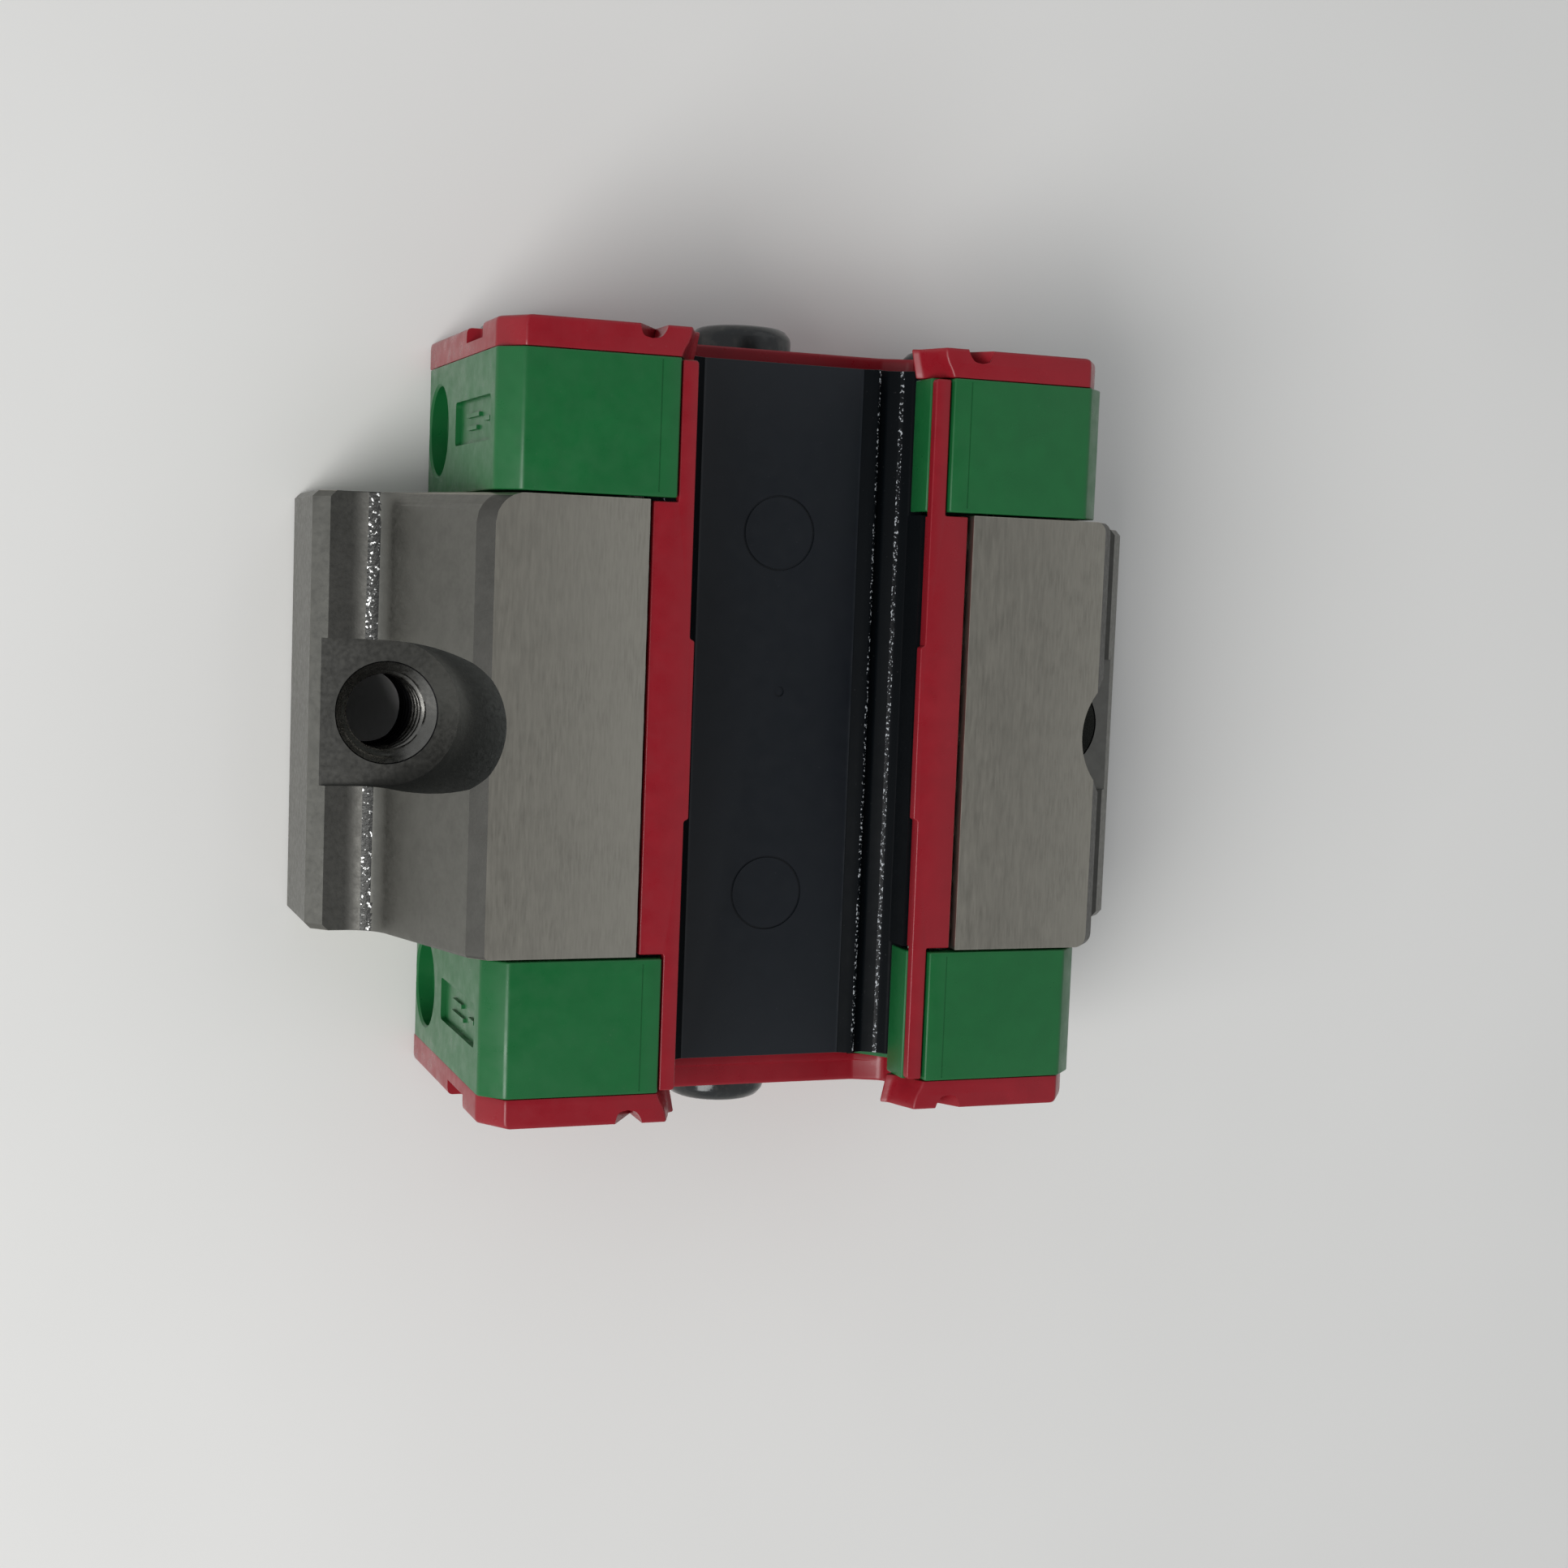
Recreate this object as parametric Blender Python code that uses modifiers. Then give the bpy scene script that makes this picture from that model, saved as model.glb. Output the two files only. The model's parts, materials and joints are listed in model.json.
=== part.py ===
"""Flanged short-block carriage of a profiled-rail linear guide, lying on its mounting face.

X runs across the rail, Y along it, and Z from the mounting face (z = 0) to the open side of the rail channel.
The origin is the centre of the mounting face. Sizes below are in millimetres; MM turns them into metres.
"""
import math

import bmesh
import bpy
from mathutils import Matrix, Vector

MM = 0.001
GAP = 0.2                    # between pieces that rest on each other
NUDGE = 1.0                  # how far a cutter runs past the face it opens

# Steel block
BLOCK_LENGTH = 28.6
BLOCK_WIDTH = 59.0
FLANGE_THICKNESS = 9.0
FLANGE_EDGE = 0.3            # broken edge along the mounting face
FLANGE_CHAMFER = 1.0
FLANGE_CORNER = 0.4          # plan chamfer of the flange corners
FLANGE_FILLET = 2.5          # between flange and leg
LEG_WIDTH = 43.3             # over both legs, below their top chamfers
LEG_SLOPE = 17.0             # the legs' outer sides lean in from the flange, in degrees
LEG_TOP = 21.9
LEG_CHAMFER = 1.05
LEG_CORNERS = {"front": (0.3, 0.8), "rear": (1.9, 0.7)}    # hand-broken upright edges, left and right
CORNER_STATIONS = (0.0, 0.15, 0.5, 1.1, 1.9)               # distances from an end where they are drawn
LEG_GAP = 22.0               # between the legs' open ends
LEG_LIP = 20.6               # lower end of the narrow part between the legs
CEILING = 10.9               # channel ceiling in the steel
RELIEF_HALF = 11.6           # channel half width between the raceways

# Fastening holes
BOLT_SPACING = 49.0
THREAD_MINOR = 5.0
THREAD_MOUTH = 6.8
THREAD_LENGTH = 8.65
SPOT_RADIUS = 4.8            # half-round relief that clears the screw head

# Ball circuits, as places in the X-Z plane on the +X side
BALL = 3.175
BALL_PITCH = 3.2
BALLS_IN_ROW = 9
NECK_RADIUS = 0.3
LOADED = {"upper": (9.55, 13.9), "lower": (9.9, 18.7)}
TURN_RADIUS = 2.9
TURN_TILT = {"upper": -45.0, "lower": -6.0}      # direction from loaded row to return row
TURN_START = 15.1            # y where the rows leave the straight
TURN_STEP = 67.5             # angle between the balls of a turn
RACEWAY = 1.66
BALL_BORE = 1.8
TUBE_BORE = 1.75
TUBE_OUTER = 2.2
GUIDE_RADIUS = 2.75
GUIDE_THICKNESS = 3.8

# Ball retainers
RETAINER_CLEARANCE = 0.16    # around the balls
RETAINER_SHIELD = 7.85       # inner face of the lower retainers
RETAINER_SHIELD_BASE = 18.3
RETAINER_TOP = 20.8

# End caps
CAP_INNER = BLOCK_LENGTH / 2 + 0.15
CAP_OUTER = 23.05
CAP_WIDTH = 41.2
CAP_BASE = 0.6               # the caps stay clear of the mounting face
CAP_TOP = 21.85
CAP_CHAMFER = 1.45
CAP_MOUTH_HALF = 9.25        # seat of the bottom strips' tongues
CAP_LIP = 8.02               # half width between the caps beside the rail's neck
CAP_CEILING = 12.2
PORT_Y = 18.75
PORT_Z = 4.15
PORT_RADIUS = 3.0
PORT_DEPTH = 1.2
LABEL_Y = (17.5, 20.3)       # blank label recess on each side
LABEL_Z = (9.4, 19.2)
LABEL_DEPTH = 0.35

# End seals
SEAL_INNER = CAP_OUTER + 0.05
SEAL_OUTER = 24.95
SEAL_BASE = 0.3
SEAL_TOP = 21.75
SEAL_HALF = 20.5
SEAL_CHAMFER = (1.4, 2.05)   # across and down
SEAL_CEILING = 12.35
COLLAR = (7.6, 12.0, 22.4)   # half width, underside and inner end of the collar in the cap's ceiling
NOTCH_Z = (11.6, 16.1)       # side notch, open to the outer face
NOTCH_START = 23.95
NOTCH_DEPTH = 1.0
SCOOP_START = 24.1           # ramped pocket beside each wiper lip

# Grease plugs and cap screws
PLUG_Z = 6.0
PLUG_RADIUS = 3.5
PLUG_END = 26.95
GREASE_BORE = 2.7
SCREW_X = 15.5
SCREW_Z = 4.6
SCREW_WAY = 1.7

# Bottom seal strips
STRIP_BASE = 21.0
STRIP_TOP = 21.6
STRIP_LIP = 8.05
STRIP_LIP_MIDDLE = 7.75
STRIP_STEP = 5.6             # where the middle of the lip starts, along Y
STRIP_EDGE = 10.72
STRIP_WIDE_END = 14.2
TONGUE_EDGE = 9.1
TONGUE_TIP = 22.95

# Shipping rail
DUMMY_LENGTH = 46.2
DUMMY_SHIFT = 0.75
DUMMY_TOP = 12.75
DUMMY_FLOOR = 15.2
DUMMY_RIDGE = 15.65
DUMMY_WING = 9.7             # half width over the wings between the ball rows
DUMMY_GROOVE = 1.95
MARK_RADIUS = 2.5
MARK_OFFSET = 12.0

SIDES = {"left": -1, "right": 1}
ENDS = {"front": -1, "rear": 1}


def clear_scene():
    for obj in list(bpy.data.objects):
        bpy.data.objects.remove(obj)


def new_collection(name):
    collection = bpy.data.collections.new(name)
    bpy.context.scene.collection.children.link(collection)
    return collection


def new_material(name, color, roughness, metallic=0.0):
    material = bpy.data.materials.new(name)
    material.use_nodes = True
    shader = material.node_tree.nodes["Principled BSDF"]
    shader.inputs["Base Color"].default_value = (*color, 1.0)
    shader.inputs["Roughness"].default_value = roughness
    shader.inputs["Metallic"].default_value = metallic
    material.diffuse_color = (*color, 1.0)
    return material


clear_scene()
PARTS = new_collection("linear_guide_carriage")
CUTTERS = new_collection("cutters")
STEEL = new_material("ground_steel", (0.36, 0.35, 0.32), 0.35, 1.0)
GREEN = new_material("green_plastic", (0.03, 0.23, 0.06), 0.35)
RED = new_material("red_elastomer", (0.42, 0.02, 0.03), 0.4)
BLACK = new_material("black_plastic", (0.012, 0.012, 0.014), 0.5)
GLOSS_BLACK = new_material("black_gloss_plastic", (0.008, 0.009, 0.011), 0.25)
WHITE = new_material("ivory_plastic", (0.72, 0.70, 0.62), 0.45)
BALL_STEEL = new_material("ball_steel", (0.62, 0.62, 0.62), 0.12, 1.0)
BLACK_STEEL = new_material("black_oxide_steel", (0.03, 0.03, 0.03), 0.35, 0.8)


# ---- outlines ---------------------------------------------------------------------------------------

def arc(center, radius, start, end, steps):
    """Points on a circle from one angle to another, in degrees, in the X-Z plane."""
    points = []
    for i in range(steps + 1):
        angle = math.radians(start + (end - start) * i / steps)
        points.append((center[0] + radius * math.cos(angle), center[1] + radius * math.sin(angle)))
    return points


def both_sides(half):
    """A closed outline from its +X half, which runs from the plane x = 0 round to it again."""
    return half + [(-x, z) for x, z in reversed(half) if x > 1e-9]


def flipped(outline):
    return [(-x, z) for x, z in reversed(outline)]


def place(outline, side):
    return outline if side > 0 else flipped(outline)


# ---- solids -----------------------------------------------------------------------------------------

def add_object(name, mesh, material=None):
    """Link a mesh as a part, or as a hidden cutter when it has no material."""
    obj = bpy.data.objects.new(name, mesh)
    if material is None:
        obj.hide_render = True
        obj.display_type = "WIRE"
        CUTTERS.objects.link(obj)
    else:
        mesh.materials.clear()
        mesh.materials.append(material)
        PARTS.objects.link(obj)
    return obj


def mesh_of_curve(curve, matrix):
    """The mesh of a curve, with its caps welded and its place worked in."""
    obj = bpy.data.objects.new(curve.name, curve)
    obj.matrix_world = matrix
    bpy.context.scene.collection.objects.link(obj)
    graph = bpy.context.evaluated_depsgraph_get()
    mesh = bpy.data.meshes.new_from_object(obj.evaluated_get(graph))
    mesh.transform(matrix)
    bpy.data.objects.remove(obj)
    bm = bmesh.new()
    bm.from_mesh(mesh)
    bmesh.ops.remove_doubles(bm, verts=bm.verts, dist=1e-6)
    bmesh.ops.dissolve_limit(bm, angle_limit=math.radians(0.5), verts=bm.verts, edges=bm.edges)
    bmesh.ops.recalc_face_normals(bm, faces=bm.faces)
    bm.to_mesh(mesh)
    bm.free()
    return mesh


def outline_mesh(name, outline, length, matrix):
    curve = bpy.data.curves.new(name, "CURVE")
    curve.dimensions = "2D"
    curve.fill_mode = "BOTH"
    curve.extrude = length / 2 * MM
    spline = curve.splines.new("POLY")
    spline.points.add(len(outline) - 1)
    for point, (x, y) in zip(spline.points, outline):
        point.co = (x * MM, y * MM, 0.0, 1.0)
    spline.use_cyclic_u = True
    return mesh_of_curve(curve, matrix)


def prism(name, outline, y_from, y_to, material=None):
    """An X-Z outline drawn out along Y."""
    middle = Vector((0.0, (y_from + y_to) / 2 * MM, 0.0))
    matrix = Matrix.Translation(middle) @ Matrix.Rotation(math.pi / 2, 4, "X")
    return add_object(name, outline_mesh(name, outline, abs(y_to - y_from), matrix), material)


def slab(name, outline, z_from, z_to, material=None):
    """An X-Y outline drawn out along Z."""
    matrix = Matrix.Translation((0.0, 0.0, (z_from + z_to) / 2 * MM))
    return add_object(name, outline_mesh(name, outline, abs(z_to - z_from), matrix), material)


def loft(name, sections, material=None):
    """A solid through X-Z outlines that have the same number of points, each at its own y."""
    bm = bmesh.new()
    rings = []
    for y, outline in sections:
        rings.append([bm.verts.new((x * MM, y * MM, z * MM)) for x, z in outline])
    for near, far in zip(rings, rings[1:]):
        for i in range(len(near)):
            j = (i + 1) % len(near)
            bm.faces.new((near[i], near[j], far[j], far[i]))
    bm.faces.new(rings[0])
    bm.faces.new(rings[-1])
    bmesh.ops.recalc_face_normals(bm, faces=bm.faces)
    mesh = bpy.data.meshes.new(name)
    bm.to_mesh(mesh)
    bm.free()
    return add_object(name, mesh, material)


def box(name, low, high, material=None):
    bm = bmesh.new()
    bmesh.ops.create_cube(bm, size=1.0)
    size = [(b - a) * MM for a, b in zip(low, high)]
    center = [(a + b) / 2 * MM for a, b in zip(low, high)]
    bmesh.ops.scale(bm, verts=bm.verts, vec=size)
    bmesh.ops.translate(bm, verts=bm.verts, vec=center)
    mesh = bpy.data.meshes.new(name)
    bm.to_mesh(mesh)
    bm.free()
    return add_object(name, mesh, material)


def pointing(axis):
    """The turn that takes +Z to this direction."""
    return Vector((0.0, 0.0, 1.0)).rotation_difference(Vector(axis)).to_matrix().to_4x4()


def cone(name, radius_low, radius_high, start, axis, length, segments, material=None):
    """A cylinder or cone that runs from start along axis."""
    bm = bmesh.new()
    bmesh.ops.create_cone(bm, cap_ends=True, segments=segments, radius1=radius_low * MM,
                          radius2=radius_high * MM, depth=length * MM)
    bmesh.ops.translate(bm, verts=bm.verts, vec=(0.0, 0.0, length / 2 * MM))
    mesh = bpy.data.meshes.new(name)
    bm.to_mesh(mesh)
    bm.free()
    mesh.transform(Matrix.Translation(Vector(start) * MM) @ pointing(axis))
    return add_object(name, mesh, material)


def cylinder(name, radius, start, axis, length, segments, material=None):
    return cone(name, radius, radius, start, axis, length, segments, material)


def turned(name, profile, steps, matrix, material=None):
    """A profile of (radius, height) pairs, listed top to bottom, swept round Z and then placed."""
    mesh = bpy.data.meshes.new(name)
    points = [(r * MM, 0.0, z * MM) for r, z in profile]
    mesh.from_pydata(points, [(i, i + 1) for i in range(len(points) - 1)], [])
    obj = add_object(name, mesh, material)
    obj.matrix_world = matrix
    screw = obj.modifiers.new("turn", "SCREW")
    screw.axis = "Z"
    screw.steps = steps
    screw.render_steps = steps
    screw.use_merge_vertices = True
    screw.merge_threshold = 1e-6
    return obj


def boolean(obj, cutter, operation="DIFFERENCE"):
    modifier = obj.modifiers.new(cutter.name, "BOOLEAN")
    modifier.operation = operation
    modifier.object = cutter
    modifier.solver = "EXACT"
    return obj


def torus(name, major, minor, matrix, major_segments, minor_segments):
    bpy.ops.mesh.primitive_torus_add(major_radius=major * MM, minor_radius=minor * MM,
                                     major_segments=major_segments, minor_segments=minor_segments)
    made = bpy.context.active_object
    mesh = made.data
    bpy.data.objects.remove(made)
    mesh.transform(matrix)
    return add_object(name, mesh)


# ---- where the ball circuits lie --------------------------------------------------------------------

def loaded_place(level, side):
    x, z = LOADED[level]
    return side * x, z


def turn_direction(level, side):
    """Unit direction, in the X-Z plane, from the loaded row to the return row."""
    angle = math.radians(TURN_TILT[level])
    return side * math.cos(angle), math.sin(angle)


def return_place(level, side):
    x, z = loaded_place(level, side)
    dx, dz = turn_direction(level, side)
    return x + 2 * TURN_RADIUS * dx, z + 2 * TURN_RADIUS * dz


def turn_matrix(level, side, end):
    """Local X runs from loaded to return row, local Y out of the block, and local Z is the turn's axis."""
    x, z = loaded_place(level, side)
    dx, dz = turn_direction(level, side)
    across = Vector((dx, 0.0, dz))
    outward = Vector((0.0, end, 0.0))
    axis = across.cross(outward)
    center = Vector((x + TURN_RADIUS * dx, end * TURN_START, z + TURN_RADIUS * dz)) * MM
    matrix = Matrix((across, outward, axis)).transposed().to_4x4()
    return Matrix.Translation(center) @ matrix


def circuits():
    for level in LOADED:
        for side_name, side in SIDES.items():
            yield level, side_name, side


# ---- steel block ------------------------------------------------------------------------------------

def leg_side():
    """From the flange's top face up the leg: the fillet's arc and the sloped outer side."""
    leg = LEG_WIDTH / 2
    shoulder = LEG_TOP - LEG_CHAMFER
    slope = math.radians(LEG_SLOPE)
    foot = leg + (shoulder - FLANGE_THICKNESS) * math.tan(slope)
    center_x = foot + FLANGE_FILLET * (1 - math.sin(slope)) / math.cos(slope)
    center = (center_x, FLANGE_THICKNESS + FLANGE_FILLET)
    return arc(center, FLANGE_FILLET, 270.0, 180.0 + LEG_SLOPE, 6) + [(leg, shoulder), (leg - LEG_CHAMFER, LEG_TOP)]


def block_half_outline():
    half_width = BLOCK_WIDTH / 2
    gap = LEG_GAP / 2
    outline = [(0.0, 0.0), (half_width - FLANGE_EDGE, 0.0), (half_width, FLANGE_EDGE)]
    outline += [(half_width, FLANGE_THICKNESS - FLANGE_CHAMFER), (half_width - FLANGE_CHAMFER, FLANGE_THICKNESS)]
    outline += leg_side()
    outline += [(gap + 0.15, LEG_TOP), (gap, LEG_TOP - 0.15), (gap, LEG_LIP)]
    outline += arc(LOADED["lower"], RACEWAY, 60.0, 0.0, 3)
    outline += [(RELIEF_HALF, 18.2), (RELIEF_HALF, 14.4)]
    outline += arc(LOADED["upper"], RACEWAY, 0.0, -60.0, 3)
    outline += [(9.5, 11.9), (9.1, CEILING), (0.0, CEILING)]
    return outline


def block_outline_at(insets, corner):
    """The block's outline, with the tops of its left and right leg sides set in, and its flange edges as well."""
    top_flat = LEG_WIDTH / 2 - LEG_CHAMFER
    shoulder = LEG_TOP - LEG_CHAMFER
    halves = []
    for inset in insets:
        half = []
        for x, z in block_half_outline():
            if x > BLOCK_WIDTH / 2 - FLANGE_CHAMFER - 0.1:
                x -= corner
            elif x > top_flat - 0.1 and z > FLANGE_THICKNESS:
                x -= inset * min(1.0, (z - FLANGE_THICKNESS) / (shoulder - FLANGE_THICKNESS))
            half.append((x, z))
        halves.append(half)
    left, right = halves
    return right + [(-x, z) for x, z in reversed(left) if x > 1e-9]


def round_inset(radius, from_end):
    """How far a rounded upright edge lies inside the flat side at a distance from the block's end."""
    left_over = max(0.0, radius - from_end)
    return radius - math.sqrt(radius ** 2 - left_over ** 2)


def block_sections():
    """Outlines from front to rear: the upright corners of the legs are round, those of the flanges chamfered."""
    sections = []
    for end_name, end in ENDS.items():
        for from_end in CORNER_STATIONS:
            insets = [round_inset(radius, from_end) for radius in LEG_CORNERS[end_name]]
            outline = block_outline_at(insets, max(0.0, FLANGE_CORNER - from_end))
            sections.append((end * (BLOCK_LENGTH / 2 - from_end), outline))
    return sorted(sections, key=lambda section: section[0])


def bolt_cutters(side_name, side):
    """The tapped hole, its mouth, and the half-round relief over it, which is open to the flange's edge."""
    x = side * BOLT_SPACING / 2
    name = f"bolt_{side_name}"
    up = (0.0, 0.0, 1.0)
    chamfer = (THREAD_MOUTH - THREAD_MINOR) / 2
    minor = THREAD_MINOR / 2
    mouth = THREAD_MOUTH / 2
    over = 0.2
    cutters = [
        cylinder(f"{name}_bore", minor, (x, 0, -NUDGE), up, THREAD_LENGTH + 2 * NUDGE, 24),
        cone(f"{name}_mouth", minor, mouth + over, (x, 0, THREAD_LENGTH - chamfer), up, chamfer + over, 24),
        cone(f"{name}_foot", mouth * 0.9 + over, minor, (x, 0, -over), up, chamfer * 0.7 + over, 24),
        cylinder(f"{name}_spot", SPOT_RADIUS, (x, 0, THREAD_LENGTH), up, LEG_TOP, 32),
    ]
    outside = side * (BLOCK_WIDTH / 2 + NUDGE)
    low = (min(x, outside), -SPOT_RADIUS, THREAD_LENGTH)
    high = (max(x, outside), SPOT_RADIUS, THREAD_LENGTH + LEG_TOP)
    cutters.append(box(f"{name}_way", low, high))
    return cutters


def make_block():
    half = BLOCK_LENGTH / 2
    block = loft("carriage_block", block_sections(), STEEL)
    for side_name, side in SIDES.items():
        for cutter in bolt_cutters(side_name, side):
            boolean(block, cutter)
    for level, side_name, side in circuits():
        x, z = return_place(level, side)
        start = (x, -half - NUDGE, z)
        name = f"return_hole_{level}_{side_name}"
        boolean(block, cylinder(name, TUBE_OUTER + 0.1, start, (0, 1, 0), BLOCK_LENGTH + 2 * NUDGE, 16))
    for side_name, side in SIDES.items():
        for end_name, end in ENDS.items():
            start = (side * SCREW_X, end * (half + NUDGE), SCREW_Z)
            name = f"screw_hole_{end_name}_{side_name}"
            boolean(block, cylinder(name, 1.35, start, (0, -end, 0), 7.0 + NUDGE, 12))
    return block


# ---- retainers and tubes ----------------------------------------------------------------------------

def make_retainers():
    """Plastic bars that keep the balls in the block when there is no rail."""
    reach = BLOCK_LENGTH / 2 - 0.1
    plate_half = 8.75
    plate = [(0.0, CEILING + GAP), (plate_half, CEILING + GAP), (plate_half, 12.3), (7.75, 12.3), (7.6, 12.0),
             (0.0, 12.0)]
    prism("upper_ball_retainer", both_sides(plate), -reach, reach, BLACK)
    clear = BALL / 2 + RETAINER_CLEARANCE
    pocket = RELIEF_HALF - GAP
    middle = [(10.1, 15.65), (pocket, 15.25), (pocket, 17.35), (10.1, 16.95)]
    lower = [(RETAINER_SHIELD, RETAINER_SHIELD_BASE)] + arc(LOADED["lower"], clear, 193.0, 92.0, 6)
    lower += [(10.2, RETAINER_TOP - 0.35), (10.6, RETAINER_TOP), (8.75, RETAINER_TOP)]
    lower += [(8.6, RETAINER_TOP - 0.3), (RETAINER_SHIELD, RETAINER_TOP - 0.3)]
    for side_name, side in SIDES.items():
        prism(f"middle_ball_retainer_{side_name}", place(middle, side), -reach, reach, BLACK)
        prism(f"lower_ball_retainer_{side_name}", place(lower, side), -reach, reach, BLACK)


def make_return_tubes():
    half = BLOCK_LENGTH / 2 - 0.1
    profile = [(TUBE_BORE, half), (TUBE_OUTER, half), (TUBE_OUTER, -half), (TUBE_BORE, -half), (TUBE_BORE, half)]
    for level, side_name, side in circuits():
        x, z = return_place(level, side)
        matrix = Matrix.Translation(Vector((x, 0.0, z)) * MM) @ pointing((0, 1, 0))
        turned(f"return_tube_{level}_{side_name}", profile, 16, matrix, WHITE)


# ---- end caps ---------------------------------------------------------------------------------------

def rail_mouth_outline():
    """The cap's side of the rail channel, from its ceiling out to the open side, on the +X side."""
    return [(0.0, CAP_CEILING), (7.8, CAP_CEILING), (8.6, 13.2), (10.3, 15.2), (10.3, 17.2), (9.0, 17.7),
            (CAP_LIP, 18.1), (CAP_LIP, STRIP_BASE - GAP)]


def cap_half_outline():
    half = CAP_WIDTH / 2
    outer = [(0.0, CAP_BASE), (half - 0.4, CAP_BASE), (half, CAP_BASE + 0.4), (half, CAP_TOP - CAP_CHAMFER),
             (half - CAP_CHAMFER, CAP_TOP)]
    lip = [(CAP_MOUTH_HALF + 0.25, CAP_TOP), (CAP_MOUTH_HALF, CAP_TOP - 0.25), (CAP_MOUTH_HALF, STRIP_BASE - GAP)]
    return outer + lip + list(reversed(rail_mouth_outline()))


def turn_cutters(level, side_name, side, end_name, end):
    """The pocket of one turn in a cap: the ball way, and the seat of the inner guide."""
    matrix = turn_matrix(level, side, end)
    name = f"turn_{end_name}_{level}_{side_name}"
    way = torus(f"{name}_way", TURN_RADIUS, BALL_BORE, matrix, 18, 10)
    thickness = GUIDE_THICKNESS + 0.3
    seat = cylinder(f"{name}_seat", TURN_RADIUS, (0, 0, -thickness / 2), (0, 0, 1), thickness, 20)
    seat.data.transform(matrix)
    return [way, seat]


def box_between(name, x_range, y_range, z_range):
    """A box cutter from ranges whose ends may come in either order."""
    ranges = [sorted(x_range), sorted(y_range), sorted(z_range)]
    return box(name, [low for low, high in ranges], [high for low, high in ranges])


def make_end_caps():
    collar_half, collar_base, collar_start = COLLAR
    for end_name, end in ENDS.items():
        cap = prism(f"end_cap_{end_name}", both_sides(cap_half_outline()), end * CAP_INNER, end * CAP_OUTER, GREEN)
        for level, side_name, side in circuits():
            for cutter in turn_cutters(level, side_name, side, end_name, end):
                boolean(cap, cutter)
        for side_name, side in SIDES.items():
            name = f"{end_name}_{side_name}"
            face = side * CAP_WIDTH / 2
            inward = (-side, 0, 0)
            port = (face + side * NUDGE, end * PORT_Y, PORT_Z)
            boolean(cap, cylinder(f"port_{name}", PORT_RADIUS, port, inward, NUDGE + PORT_DEPTH, 24))
            boolean(cap, cylinder(f"port_pilot_{name}", PORT_RADIUS / 2, port, inward, NUDGE + 2.0, 12))
            label_x = (face - side * LABEL_DEPTH, face + side * NUDGE)
            boolean(cap, box_between(f"label_{name}", label_x, [end * y for y in LABEL_Y], LABEL_Z))
            start = (side * SCREW_X, end * (CAP_INNER - NUDGE), SCREW_Z)
            boolean(cap, cylinder(f"cap_screw_way_{name}", SCREW_WAY, start, (0, end, 0), 12.0, 12))
        start = (0.0, end * (CAP_OUTER + NUDGE), PLUG_Z)
        boolean(cap, cylinder(f"grease_way_{end_name}", GREASE_BORE, start, (0, -end, 0), NUDGE + 5.5, 16))
        collar_x = (-collar_half - 0.15, collar_half + 0.15)
        collar_y = (end * (collar_start - 0.15), end * (CAP_OUTER + NUDGE))
        collar_z = (collar_base - 0.15, CAP_CEILING + NUDGE)
        boolean(cap, box_between(f"collar_seat_{end_name}", collar_x, collar_y, collar_z))


def make_return_guides():
    """Saddle-shaped inner halves of the turns, one for each turn."""
    half = GUIDE_THICKNESS / 2
    for end_name, end in ENDS.items():
        for level, side_name, side in circuits():
            matrix = turn_matrix(level, side, end)
            name = f"return_guide_{end_name}_{level}_{side_name}"
            guide = cylinder(name, GUIDE_RADIUS, (0, 0, -half), (0, 0, 1), GUIDE_THICKNESS, 20, WHITE)
            guide.matrix_world = matrix
            boolean(guide, torus(f"{name}_way", TURN_RADIUS, BALL_BORE, matrix, 18, 10))
            block_side = (0.0, end * (CAP_INNER + 0.1))
            boolean(guide, box_between(f"{name}_base", (-BLOCK_WIDTH, BLOCK_WIDTH), block_side, (0.0, BLOCK_WIDTH)))


# ---- end seals --------------------------------------------------------------------------------------

def seal_half_outline():
    """The plate, from the mounting side round its outer edge to the wiper lip and the rail channel."""
    across, down = SEAL_CHAMFER
    outer = [(0.0, SEAL_BASE), (SEAL_HALF, SEAL_BASE), (SEAL_HALF, SEAL_TOP - down), (SEAL_HALF - across, SEAL_TOP)]
    lip = [(8.95, SEAL_TOP), (8.0, 19.6), (7.4, 19.2), (7.6, 18.9)]
    mouth = [(9.0, 18.1), (10.0, 17.3), (10.0, 13.3), (9.7, 13.0), (8.0, SEAL_CEILING), (0.0, SEAL_CEILING)]
    return outer + lip + mouth


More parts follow.
